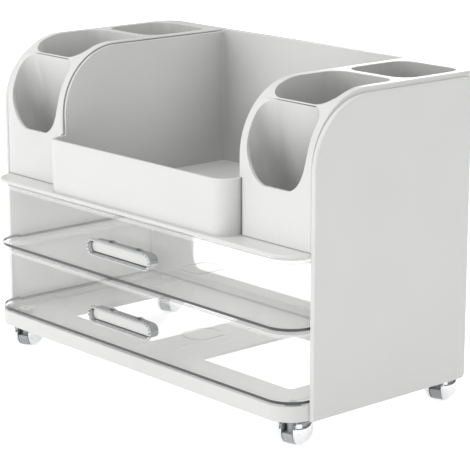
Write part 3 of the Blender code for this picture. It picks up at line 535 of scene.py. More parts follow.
class Bench:
    """One object on the workbench, shaped step by step."""

    def __init__(self, item: bpy.types.Object) -> None:
        """Take an object on the bench."""
        self.item = item

    @staticmethod
    def _applied() -> "Bench":
        """The primitive just added, with its place in its mesh."""
        bpy.ops.object.transform_apply(location=True, rotation=True, scale=True)
        return Bench(bpy.context.object)

    @staticmethod
    def block(low: Point, high: Point) -> "Bench":
        """A box between two corners.

        Args:
            low: lowest corner.
            high: highest corner.

        Returns:
            The box.
        """
        bpy.ops.object.select_all(action="DESELECT")
        middle = [(a + b) / 2 for a, b in zip(low, high)]
        size = [b - a for a, b in zip(low, high)]
        bpy.ops.mesh.primitive_cube_add(size=1, location=middle, scale=size)
        return Bench._applied()

    @staticmethod
    def rod(
        radius: float, low: float, high: float, axis: Axis, middle: Point = ORIGIN, steps: int = 48
    ) -> "Bench":
        """A round rod.

        Args:
            radius: its radius.
            low: where it starts along its axis.
            high: where it ends along its axis.
            axis: its direction.
            middle: a point on its axis.
            steps: flats round it.

        Returns:
            The rod.
        """
        bpy.ops.object.select_all(action="DESELECT")
        along = {Axis.X: 0, Axis.Y: 1, Axis.Z: 2}[axis]
        place = list(middle)
        place[along] += (low + high) / 2
        bpy.ops.mesh.primitive_cylinder_add(
            vertices=steps, radius=radius, depth=high - low, location=place, rotation=axis.value
        )
        return Bench._applied()

    @staticmethod
    def ball(radius: float, steps: int, rings: int) -> "Bench":
        """A ball around the origin, whose poles lie along X.

        Args:
            radius: its radius.
            steps: flats round it.
            rings: rings from pole to pole.

        Returns:
            The ball.
        """
        bpy.ops.object.select_all(action="DESELECT")
        bpy.ops.mesh.primitive_uv_sphere_add(
            segments=steps, ring_count=rings, radius=radius, location=ORIGIN, rotation=Axis.X.value
        )
        return Bench._applied()

    @staticmethod
    def slab(length: float, height: float, front: float, back: float) -> "Bench":
        """A plate with two round ends around the Y axis.

        Args:
            length: its length along X.
            height: its height along Z.
            front: its front.
            back: its back.

        Returns:
            The plate.
        """
        made = Bench.block((-length / 2, front, -height / 2), (length / 2, back, height / 2))
        return made.rounded(lengthwise, height / 2 - MERGED, 16)

    def _active(self) -> None:
        """Select this object alone."""
        bpy.ops.object.select_all(action="DESELECT")
        self.item.select_set(True)
        bpy.context.view_layer.objects.active = self.item

    def _edited(self, test: EdgeTest, change: Callable[[], object]) -> "Bench":
        """Change the edges that pass a test, in edit mode.

        Args:
            test: takes both ends of an edge.
            change: the step that is taken on them.

        Returns:
            This bench.
        """
        self._active()
        mesh = self.item.data
        bpy.ops.object.mode_set(mode="EDIT")
        bpy.ops.mesh.select_mode(type="EDGE")
        bpy.ops.mesh.select_all(action="DESELECT")
        bpy.ops.object.mode_set(mode="OBJECT")
        for edge in mesh.edges:
            first, second = (mesh.vertices[i].co for i in edge.vertices)
            edge.select = test(first, second)
        bpy.ops.object.mode_set(mode="EDIT")
        change()
        bpy.ops.object.mode_set(mode="OBJECT")
        return self

    def rounded(self, test: EdgeTest, radius: float, steps: int = 12) -> "Bench":
        """Round the edges that pass a test, with a number of flats."""
        settings = {"segments": steps, "profile": 0.5, "affect": "EDGES", "clamp_overlap": False}
        return self._edited(test, functools.partial(bpy.ops.mesh.bevel, offset=radius, **settings))

    def moved(self, test: Callable[[Vector], bool], shift: Point) -> "Bench":
        """Move the edges whose ends both pass a test."""
        change = functools.partial(bpy.ops.transform.translate, value=shift)
        return self._edited(lambda a, b: test(a) and test(b), change)

    def stretched(self, scale: Point, middle: Point) -> "Bench":
        """Scale the whole mesh about a point, which stays."""
        change = functools.partial(bpy.ops.transform.resize, value=scale, center_override=middle)
        return self._edited(every, change)

    def halved(self, place: Point, normal: Point) -> "Bench":
        """Keep what lies before a plane, and close the cut."""
        settings = {"plane_co": place, "plane_no": normal, "use_fill": True, "clear_inner": True}
        return self._edited(every, functools.partial(bpy.ops.mesh.bisect, **settings))

    def _combined(self, tools: Iterable["Bench"], operation: str) -> "Bench":
        """Combine with other objects and use them up.

        Args:
            tools: the other objects.
            operation: name of the Boolean operation.

        Returns:
            This bench.
        """
        for tool in tools:
            self._active()
            change = self.item.modifiers.new("combine", "BOOLEAN")
            change.operation = operation
            change.solver = "EXACT"
            change.object = tool.item
            bpy.ops.object.modifier_apply(modifier=change.name)
            bpy.data.objects.remove(tool.item)
        return self

    def cut(self, *tools: "Bench") -> "Bench":
        """Cut other objects out of this one."""
        return self._combined(tools, "DIFFERENCE")

    def fused(self, *tools: "Bench") -> "Bench":
        """Fuse other objects with this one."""
        return self._combined(tools, "UNION")

    def shared(self, *tools: "Bench") -> "Bench":
        """Keep what other objects share with this one."""
        return self._combined(tools, "INTERSECT")

    def joined(self, others: Iterable["Bench"]) -> "Bench":
        """Keep other shells in the same object.

        Args:
            others: the shells.

        Returns:
            This bench.
        """
        self._active()
        for other in others:
            other.item.select_set(True)
        bpy.ops.object.join()
        return self

    def softened(self, width: float, steps: int = 3, angle: float = 38.0) -> "Bench":
        """Break every sharp edge and even the shading of the flats.

        Args:
            width: width of the broken edge.
            steps: flats across it.
            angle: sharper edges than this, in degrees, are broken.

        Returns:
            This bench.
        """
        self._active()
        bpy.ops.object.mode_set(mode="EDIT")
        bpy.ops.mesh.select_all(action="SELECT")
        bpy.ops.mesh.remove_doubles(threshold=MERGED)
        bpy.ops.mesh.dissolve_limited(angle_limit=math.radians(0.5))
        bpy.ops.object.mode_set(mode="OBJECT")
        edge = self.item.modifiers.new("edges", "BEVEL")
        edge.limit_method = "ANGLE"
        edge.angle_limit = math.radians(angle)
        edge.width = width
        edge.segments = steps
        edge.use_clamp_overlap = False
        bpy.ops.object.modifier_apply(modifier=edge.name)
        return self.shaded()

    def shaded(self, angle: float = 40.0) -> "Bench":
        """Smooth shading with flats kept flat.

        Args:
            angle: edges sharper than this, in degrees, stay sharp.

        Returns:
            This bench.
        """
        self._active()
        bpy.ops.object.shade_smooth_by_angle(angle=math.radians(angle))
        even = self.item.modifiers.new("even", "WEIGHTED_NORMAL")
        even.keep_sharp = True
        bpy.ops.object.modifier_apply(modifier=even.name)
        return self

    def copied(self) -> "Bench":
        """A second object with its own mesh.

        Returns:
            The copy.
        """
        self._active()
        bpy.ops.object.duplicate(linked=False)
        return Bench(bpy.context.object)

    def mirrored(self) -> "Bench":
        """A copy mirrored across the middle plane of the body.

        Returns:
            The copy.
        """
        other = self.copied()
        other._active()
        other.item.scale.x = -1
        bpy.ops.object.transform_apply(location=False, rotation=False, scale=True)
        bpy.ops.object.mode_set(mode="EDIT")
        bpy.ops.mesh.select_all(action="SELECT")
        bpy.ops.mesh.normals_make_consistent(inside=False)
        bpy.ops.object.mode_set(mode="OBJECT")
        return other

    def placed(self, place: Point, turn: float = 0.0) -> "Bench":
        """A copy moved to a place and turned about the upright axis.

        Args:
            place: where its origin goes.
            turn: its turn in radians.

        Returns:
            The copy.
        """
        other = self.copied()
        other.item.location = place
        other.item.rotation_euler.z = turn
        bpy.ops.object.transform_apply(location=True, rotation=True, scale=False)
        return other

    def deliver_pair(self, node: str, palette: Palette) -> None:
        """Finish the object as the right one of a pair, and its mirrored copy as the left one.

        Args:
            node: name of both nodes without their side.
            palette: the finishes.
        """
        left = self.mirrored()
        self.deliver(f"right_{node}", Slot.SATIN, palette)
        left.deliver(f"left_{node}", Slot.SATIN, palette)

    def discard(self) -> None:
        """Take the object off the bench."""
        bpy.data.objects.remove(self.item)

    def deliver(self, node: str, slot: Slot, palette: Palette) -> None:
        """Finish the object as the piece that stands for a CAD node.

        Args:
            node: name of the node.
            slot: its finish.
            palette: the finishes.
        """
        self.item.name = f"{node}_dressed"
        palette.dress(self.item, slot)
        body = frame["nodes"][node].parent.name.split(":", 1)[1]
        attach(self.item, body)
        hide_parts(node)
        log.info("%s rides on %s with %d faces", self.item.name, body, len(self.item.data.polygons))


def every(a: Vector, b: Vector) -> bool:
    """Whether an edge is one of all."""
    return True


def uprights(a: Vector, b: Vector) -> bool:
    """Whether an edge stands upright."""
    return near(a.x, b.x) and near(a.y, b.y)


def uprights_at(y: float) -> EdgeTest:
    """Test for the upright edges at a depth."""
    return lambda a, b: uprights(a, b) and near(a.y, y)


def upright(x: float, y: float) -> EdgeTest:
    """Test for the upright edge over a point of the plan."""
    return lambda a, b: uprights_at(y)(a, b) and near(a.x, x)


def lengthwise(a: Vector, b: Vector) -> bool:
    """Whether an edge runs along Y."""
    return near(a.x, b.x) and near(a.z, b.z)


def at(point: Vector, y: float, z: float) -> bool:
    """Whether a point lies at a depth and a height."""
    return near(point.y, y) and near(point.z, z)


def crosswise(y: float, z: float) -> EdgeTest:
    """Test for the edge along X at a depth and a height."""
    return lambda a, b: at(a, y, z) and at(b, y, z)


def rising(low: tuple[float, float], high: tuple[float, float]) -> EdgeTest:
    """Test for the edges from one depth and height to another."""
    return lambda a, b: (at(a, *low) and at(b, *high)) or (at(b, *low) and at(a, *high))


def round_ends(axis: int) -> EdgeTest:
    """Test for the edges round both ends of a rod along an axis."""
    return lambda a, b: near(a[axis], b[axis])


def flat_at(axis: int, value: float) -> EdgeTest:
    """Test for the edges in a plane across an axis."""
    return lambda a, b: near(a[axis], value) and near(b[axis], value)


# Sub-assemblies


@dataclass(frozen=True)
class Plan:
    """Sizes that the mouldings of the body share."""

    half: float = 0.166
    panel: float = 0.0036
    clearance: float = 0.0003
    front: float = -0.08245
    rear: float = 0.09155
    body_rear: float = 0.08905
    front_radius: float = 0.020
    rear_radius: float = 0.016
    base_low: float = 0.0202
    base_top: float = 0.0306
    tray_low: float = 0.1276
    tray_top: float = 0.1300
    rim_top: float = 0.2304
    panel_front: float = -0.06465
    panel_rear: float = 0.07735
    lower_drawer_low: float = 0.0319
    upper_drawer_low: float = 0.0802
    tongue_length: float = 0.014
    tongue_reach: float = 0.0018
    tongue_thickness: float = 0.0016

    @property
    def inner(self) -> float:
        """Inner face of a side panel from the middle."""
        return self.half - self.panel

    @property
    def reach(self) -> float:
        """Side of the mouldings between the panels."""
        return self.inner - self.clearance

    def tongue_middles(self) -> tuple[float, float]:
        """Depths of the tongues' middles.

        Returns:
            The depths of the front and the rear tongue.
        """
        spread = 0.28 * (self.panel_rear - self.panel_front)
        middle = (self.panel_front + self.panel_rear) / 2
        return middle - spread, middle + spread

    def footprint(self, low: float, high: float, inset: float = 0.0) -> Bench:
        """A slab with the body's plan and its rounded corners.

        Args:
            low: underside.
            high: top.
            inset: how far it stays inside the plan.

        Returns:
            The slab.
        """
        side, front, rear = self.reach - inset, self.front + inset, self.body_rear - inset
        made = Bench.block((-side, front, low), (side, rear, high))
        made.rounded(uprights_at(front), self.front_radius - inset, 16)
        return made.rounded(uprights_at(rear), self.rear_radius - inset, 14)

    def tongues(self, height: float, inner: float, outer: float, margin: float) -> list[Bench]:
        """Blocks of the tongues of both panels, or of their slots.

        Args:
            height: their middle height.
            inner: their end nearest the middle of the body.
            outer: their other end.
            margin: how much larger they are on each side.

        Returns:
            The blocks of the left and the right side.
        """
        made = []
        thick = self.tongue_thickness / 2 + margin
        long = self.tongue_length / 2 + margin
        for side in (-1, 1):
            near_x, far_x = sorted((side * inner, side * outer))
            for middle in self.tongue_middles():
                low = (near_x, middle - long, height - thick)
                made.append(Bench.block(low, (far_x, middle + long, height + thick)))
        return made


@dataclass
class BaseTray:
    """The shallow tray under the drawers, with two windows and four sockets."""

    plan: Plan
    wall: float = 0.0024
    web_low: float = 0.0234
    web_top: float = 0.0256
    window_half_gap: float = 0.027
    window_reach: float = 0.119
    window_front: float = -0.04045
    window_rear: float = 0.04905
    window_radius: float = 0.003
    socket_radius: float = 0.0052
    bore_radius: float = 0.0022
    headroom: float = 0.0008
    window_cut: tuple[float, float] = (0.020, 0.028)
    bore_cut: tuple[float, float] = (0.018, 0.034)
    edge: float = 0.0005
    pin_half: float = 0.1461
    pin_depths: tuple[float, float] = (-0.06385, 0.07345)

    def shape(self) -> Bench:
        """Model the tray.

        Returns:
            The tray.
        """
        plan = self.plan
        base = plan.footprint(plan.base_low, plan.base_top)
        base.cut(plan.footprint(self.web_top, plan.base_top + OVERRUN, self.wall))
        base.cut(plan.footprint(plan.base_low - OVERRUN, self.web_low, self.wall))
        web, top = (self.web_low + self.web_top) / 2, plan.base_top - self.headroom
        pins = [(side * self.pin_half, y, 0.0) for y in self.pin_depths for side in (-1, 1)]
        for pin in pins:
            base.fused(Bench.rod(self.socket_radius, web, top, Axis.Z, pin))
        low, high = self.window_cut
        for side in (-1, 1):
            left, right = sorted((side * self.window_half_gap, side * self.window_reach))
            window = Bench.block((left, self.window_front, low), (right, self.window_rear, high))
            base.cut(window.rounded(uprights, self.window_radius, 6))
        for pin in pins:
            base.cut(Bench.rod(self.bore_radius, *self.bore_cut, Axis.Z, pin))
        height = (self.web_top + plan.base_top) / 2
        inner = plan.reach - self.wall - plan.tongue_reach
        base.cut(*plan.tongues(height, inner, plan.half, plan.clearance))
        return base.softened(self.edge)

    def build(self, palette: Palette) -> None:
        """Model and dress the tray."""
        self.shape().deliver("base_tray", Slot.SATIN, palette)


@dataclass
class SidePanels:
    """The two flat panels with a quarter-round front top corner, ledges and tongues."""

    plan: Plan
    top: float = 0.2269
    arch: float = 0.046
    foot: float = 0.003
    edge: float = 0.0011
    ledge_reach: float = 0.003
    ledge_thickness: float = 0.0025
    ledge_front: float = -0.05785
    ledge_rear: float = 0.06755
    ledge_drop: float = 0.0436
    ledge_play: float = 0.0002
    low_tongue: float = 0.0281
    broken: float = 0.0003

    def shape(self) -> Bench:
        """Model the right panel.

        Returns:
            The panel.
        """
        plan = self.plan
        low_corner = (plan.inner, plan.panel_front, plan.base_low)
        panel = Bench.block(low_corner, (plan.half, plan.panel_rear, self.top))
        panel.rounded(crosswise(plan.panel_front, self.top), self.arch, 32)
        panel.rounded(crosswise(plan.panel_rear, plan.base_low), self.foot, 6)
        panel.rounded(flat_at(0, plan.half), self.edge, 4)
        root = plan.inner + plan.panel / 2
        for low in (plan.lower_drawer_low, plan.upper_drawer_low):
            top = low + self.ledge_drop - self.ledge_play
            low_corner = (plan.inner - self.ledge_reach, self.ledge_front, top - self.ledge_thickness)
            panel.fused(Bench.block(low_corner, (root, self.ledge_rear, top)))
        for height in (self.low_tongue, (plan.tray_low + plan.tray_top) / 2):
            blocks = plan.tongues(height, plan.inner - plan.tongue_reach, root, 0)
            for spare in blocks[:2]:
                spare.discard()
            panel.fused(*blocks[2:])
        return panel.softened(self.broken, 2)

    def build(self, palette: Palette) -> None:
        """Model one panel and mirror it."""
        self.shape().deliver_pair("side_panel", palette)


@dataclass
class RearFrame:
    """The thin rear wall with wings round both corners, open behind the drawers."""

    plan: Plan
    wall: float = 0.0024
    wing_front: float = 0.06905
    opening_half: float = 0.133
    low_margin: float = 0.006
    top_margin: float = 0.012
    radius: float = 0.009
    edge: float = 0.0005

    def shape(self) -> Bench:
        """Model the frame.

        Returns:
            The frame.
        """
        plan = self.plan
        side, rear = plan.reach, plan.body_rear
        low, top = plan.base_top + plan.clearance, plan.tray_low - plan.clearance
        wall = Bench.block((-side, self.wing_front, low), (side, rear, top))
        wall.rounded(uprights_at(rear), plan.rear_radius, 14)
        inner_side, inner_rear = side - self.wall, rear - self.wall
        low_corner = (-inner_side, self.wing_front - OVERRUN, low - OVERRUN)
        inside = Bench.block(low_corner, (inner_side, inner_rear, top + OVERRUN))
        inside.rounded(uprights_at(inner_rear), plan.rear_radius - self.wall, 14)
        wall.cut(inside)
        opening = Bench.block(
            (-self.opening_half, rear - self.wall - OVERRUN, low + self.low_margin),
            (self.opening_half, rear + OVERRUN, top - self.top_margin),
        )
        opening.rounded(lengthwise, self.radius, 10)
        return wall.cut(opening).softened(self.edge)

    def build(self, palette: Palette) -> None:
        """Model and dress the frame."""
        self.shape().deliver("rear_frame", Slot.SATIN, palette)


@dataclass
class TopTray:
    """Deck over the drawers with the open bin between the towers."""

    plan: Plan
    bin_half: float = 0.0957
    wall: float = 0.0024
    bin_front: float = -0.07945
    bin_rear: float = 0.08865
    bin_top: float = 0.1680
    corner: float = 0.012
    arch_front: float = -0.06285
    arch_top: float = 0.2288
    arch: float = 0.0464
    back_half: float = 0.0947
    lip_low: float = 0.2274
    peg_hole: float = 0.0028
    peg_x: float = 0.1300
    peg_depths: tuple[float, float] = (-0.03445, 0.05555)
    peg_cut: tuple[float, float] = (0.124, 0.134)
    trim_low: tuple[float, float] = (-0.11, -0.10)
    trim_high: Point = (0.11, 0.03, 0.26)
    arch_half: float = 0.12
    arch_low: float = 0.15
    lip_root: float = 0.001
    edge: float = 0.0006
    slot_play: float = 3.0

    def _tub(self) -> Bench:
        """Outer form of the bin: a low front and arched side walls.

        Returns:
            The form.
        """
        root = (self.plan.tray_low + self.plan.tray_top) / 2
        low = (-self.bin_half, self.bin_front, root)
        tub = Bench.block(low, (self.bin_half, self.bin_rear, self.arch_top))
        tub.rounded(uprights_at(self.bin_front), self.corner, 14)
        above = Bench.block((*self.trim_low, self.bin_top), self.trim_high)
        low = (-self.arch_half, self.arch_front, self.arch_low)
        arched = Bench.block(low, (self.arch_half, self.arch_half, self.arch_top))
        arched.rounded(crosswise(self.arch_front, self.arch_top), self.arch, 32)
        return tub.cut(above.cut(arched))

    def shape(self) -> Bench:
        """Model the tray.

        Returns:
            The tray.
        """
        plan = self.plan
        root = (plan.tray_low + plan.tray_top) / 2
        back_front = self.bin_rear - self.wall
        side, front = self.bin_half - self.wall, self.bin_front + self.wall
        walls = self._tub()
        inside = Bench.block((-side, front, root - OVERRUN), (side, back_front, plan.rim_top + OVERRUN))
        inside.rounded(uprights_at(front), self.corner - self.wall, 12)
        walls.cut(inside)
        half, lift = self.back_half, self.arch_top - OVERRUN
        walls.fused(Bench.block((-half, back_front, lift), (half, self.bin_rear, plan.rim_top)))
        lip = (-half, self.bin_rear - self.lip_root, self.lip_low)
        walls.fused(Bench.block(lip, (half, plan.rear, plan.rim_top)))
        tray = plan.footprint(plan.tray_low, plan.tray_top).softened(self.edge)
        tray.fused(walls.softened(self.edge))
        for hand in (-1, 1):
            for y in self.peg_depths:
                tray.cut(Bench.rod(self.peg_hole, *self.peg_cut, Axis.Z, (hand * self.peg_x, y, 0)))
        slots = plan.tongues(root, plan.reach - plan.tongue_reach, plan.half, plan.clearance)
        for slot in slots:
            slot.stretched((1.0, 1.0, self.slot_play), (0.0, 0.0, root))
        return tray.cut(*slots).shaded(32)

    def build(self, palette: Palette) -> None:
        """Model and dress the tray."""
        self.shape().deliver("top_tray", Slot.SATIN, palette)


@dataclass
class BrushTowers:
    """Two curved towers with three brush cups each."""

    plan: Plan
    inner: float = 0.0976
    flange: float = 0.0950
    front: float = -0.06445
    foot: float = 0.1303
    arch: float = 0.048
    drop: float = 0.0012
    flange_low: float = 0.1683
    rim_radius: float = 0.015
    cup_inner: float = 0.1010
    cup_outer: float = 0.1569
    cup_floor: float = 0.1325
    cup_radius: float = 0.0125
    front_wall: float = 0.0026
    mouth: float = -0.04735
    mouth_height: float = 0.21913
    lean: float = 0.2482
    ridge: float = 0.0018
    middle_end: float = 0.01605
    rear_start: float = 0.02205
    rear_end: float = 0.07805
    sill: float = 0.1662
    sill_half: float = 0.018
    sill_rise: float = 0.029
    peg_x: float = 0.1300
    peg_radius: float = 0.0025
    peg_span: tuple[float, float] = (0.1279, 0.1314)
    peg_depths: tuple[float, float] = (-0.03445, 0.05555)
    body_low: Point = (0.05, -0.10, 0.10)
    body_top: float = 0.25
    front_radii: Point = (0.0024, 0.0108, 10)
    window_depth: float = 0.0051
    edge: float = 0.0004
    bulge: float = 0.00005

    def _block(self) -> Bench:
        """The tower's outer form with its arch and its rounded rear corner.

        Returns:
            The form.
        """
        plan = self.plan
        tower = Bench.block((self.flange, self.front, self.foot), (plan.reach, plan.rear, plan.rim_top))
        tower.rounded(upright(plan.reach, plan.rear), self.rim_radius, 14)
        return tower.rounded(crosswise(self.front, plan.rim_top), self.arch, 36)

    def _beside_bin(self) -> list[Bench]:
        """What is cut away beside the bin, under the flange.

        Returns:
            The cutters under and over the flange's foot.
        """
        plan = self.plan
        low = Bench.block(
            (self.flange - OVERRUN, self.front - OVERRUN, self.foot - OVERRUN),
            (self.inner, plan.rear + OVERRUN, self.flange_low),
        )
        top = plan.rim_top - self.drop
        high = Bench.block(
            (self.flange - OVERRUN, self.front + self.drop, self.flange_low - OVERRUN),
            (self.inner, plan.rear + OVERRUN, top),
        )
        high.rounded(crosswise(self.front + self.drop, top), self.arch - self.drop, 36)
        return [low, high]

    def _behind(self) -> Bench:
        """What is cut away under the rim round the rear corner.

        Returns:
            The cutter.
        """
        plan = self.plan
        start = plan.body_rear - plan.rear_radius
        around = Bench.block(
            (self.flange - OVERRUN, start, self.foot - OVERRUN),
            (plan.reach + OVERRUN, plan.rear + OVERRUN, plan.rim_top - self.drop),
        )
        body = Bench.block(self.body_low, (plan.reach, plan.body_rear, self.body_top))
        body.rounded(upright(plan.reach, plan.body_rear), plan.rear_radius, 14)
        return around.cut(body)

    def _ridge(self, height: float) -> float:
        """Depth of the leaning wall at a height."""
        return self.mouth + self.lean * (self.mouth_height - height)

    def _cup(
        self, fronts: tuple[float, float], rears: tuple[float, float], top: float, radii: Point
    ) -> Bench:
        """A cup whose front or rear wall may lean.

        Args:
            fronts: front wall at the floor and at the top.
            rears: rear wall at the floor and at the top.
            top: height of its upper end.
            radii: radius of the front corners, of the rear corners, and flats in each.

        Returns:
            The cutter.
        """
        (front, front_top), (rear, rear_top), floor = fronts, rears, self.cup_floor
        cup = Bench.block((self.cup_inner, front, floor), (self.cup_outer, rear, top))
        cup.moved(lambda p: at(p, front, top), (0, front_top - front, 0))
        cup.moved(lambda p: at(p, rear, top), (0, rear_top - rear, 0))
        cup.rounded(rising((rear, floor), (rear_top, top)), radii[1], int(radii[2]))
        return cup.rounded(rising((front, floor), (front_top, top)), radii[0], int(radii[2]))

    def _cups(self) -> list[Bench]:
        """The three cups.

        Returns:
            The cutters from front to rear.
        """
        front = self.front + self.front_wall
        top = self.mouth_height + self.ridge
        high = self.plan.rim_top + OVERRUN
        low_ridge = self._ridge(self.cup_floor)
        first = self._cup((front, front), (low_ridge, self._ridge(top)), top, self.front_radii)
        radii = (self.cup_radius, self.cup_radius, 12)
        fronts = (low_ridge + self.ridge, self._ridge(high) + self.ridge)
        second = self._cup(fronts, (self.middle_end, self.middle_end), high, radii)
        third = self._cup((self.rear_start, self.rear_start), (self.rear_end, self.rear_end), high, radii)
        return [first, second, third]

    def _window(self) -> Bench:
        """The opening in the front with large elliptic lower corners.

        Returns:
            The cutter.
        """
        squash = self.sill_half / self.sill_rise
        height = (self.plan.rim_top - self.sill) * squash
        window = Bench.block(
            (self.cup_inner, self.front - OVERRUN, self.sill),
            (self.cup_outer, self.front + self.window_depth, self.sill + height),
        )
        window.rounded(lambda a, b: lengthwise(a, b) and near(a.z, self.sill), self.sill_half, 18)
        return window.stretched((1.0, 1.0, 1.0 / squash), (0.0, 0.0, self.sill))

    def shape(self) -> Bench:
        """Model the right tower.

        Returns:
            The tower.
        """
        tower = self._block()
        tower.cut(*self._beside_bin())
        tower.cut(self._behind())
        tower.cut(*self._cups())
        tower.cut(self._window())
        for y in self.peg_depths:
            tower.fused(Bench.rod(self.peg_radius, *self.peg_span, Axis.Z, (self.peg_x, y, 0), 32))
        tower.softened(self.edge)
        side = self.plan.reach + self.bulge
        return tower.moved(lambda p: p.x > side, (-self.plan.clearance, 0.0, 0.0))

    def build(self, palette: Palette) -> None:
        """Model one tower and mirror it."""
        self.shape().deliver_pair("brush_tower", palette)


@dataclass
class Drawers:
    """Two clear drawers from one mould."""

    plan: Plan
    half: float = 0.1620
    body_half: float = 0.1590
    height: float = 0.0470
    length: float = 0.150
    wall: float = 0.0022
    floor: float = 0.0020
    cheek: float = 0.0238
    proud: float = 0.0006
    rim: float = 0.0033
    rear_radius: float = 0.006
    rib_depth: float = 0.0009
    rib_width: float = 0.0014
    rib_places: tuple[tuple[float, float], ...] = ((0.013, 0.002), (0.152, 0.0062))
    rib_rear: float = 0.138
    gate_radius: float = 0.0145
    gate_depth: float = 0.0004
    gate_place: float = 0.067
    screw_place: tuple[float, float] = (0.015, 0.0228)
    hole_radius: float = 0.0017
    overlap: float = 0.002
    strip_span: tuple[float, float] = (0.02, 0.12)
    edge: float = 0.00035

    def _trough(self, inset: float, low: float, high: float) -> Bench:
        """The wide front and the narrower body as one form.

        Args:
            inset: how far it stays inside the shell.
            low: its underside.
            high: its top.

        Returns:
            The form around the drawer's front, bottom and middle.
        """
        side, front = self.half - self.proud - inset, self.proud + inset
        wide = Bench.block((-side, front, low), (side, self.cheek - inset, high))
        radius = self.plan.front_radius - self.proud - inset
        wide.rounded(uprights_at(front), radius, 16)
        narrow, rear = self.body_half - inset, self.length - self.proud - inset
        body = Bench.block((-narrow, self.cheek - inset - self.overlap, low), (narrow, rear, high))
        body.rounded(uprights_at(rear), self.rear_radius - inset, 8)
        return wide.fused(body)

    def shape(self) -> Bench:
        """Model one drawer around its front, bottom and middle.

        Returns:
            The drawer.
        """
        rim_low = self.height - self.rim
        drawer = self._trough(0.0, 0.0, rim_low + self.rim / 2)
        rim = Bench.block((-self.half, 0, rim_low), (self.half, self.length, self.height))
        rim.rounded(uprights_at(0), self.plan.front_radius, 16)
        rim.rounded(uprights_at(self.length), self.rear_radius, 8)
        drawer.fused(rim)
        for x, front in self.rib_places:
            for middle in (-x, x):
                low = (middle - self.rib_width / 2, front, -self.rib_depth)
                drawer.fused(Bench.block(low, (middle + self.rib_width / 2, self.rib_rear, self.floor / 2)))
        place = (0, self.gate_place, 0)
        mark = Bench.rod(self.gate_radius, -self.overlap, self.gate_depth, Axis.Z, place, 56)
        beside, (front, rear) = self.rib_places[0][0] - self.rib_width, self.strip_span
        strip = Bench.block((-beside, front, -self.overlap / 2), (beside, rear, self.overlap))
        drawer.cut(mark.shared(strip))
        drawer.cut(self._trough(self.wall, self.floor, self.height + OVERRUN))
        x, z = self.screw_place
        for side in (-1, 1):
            place = (side * x, 0, z)
            drawer.cut(Bench.rod(self.hole_radius, -OVERRUN, self.wall + OVERRUN, Axis.Y, place, 24))
        return drawer.softened(self.edge, 2)

    def build(self, palette: Palette) -> None:
        """Model one drawer and copy it to both levels.

        Args:
            palette: the finishes.
        """
        mould = self.shape()
        for level, low in (("lower", self.plan.lower_drawer_low), ("upper", self.plan.upper_drawer_low)):
            mould.placed((0, self.plan.front, low)).deliver(f"{level}_drawer", Slot.CLEAR, palette)
        mould.discard()


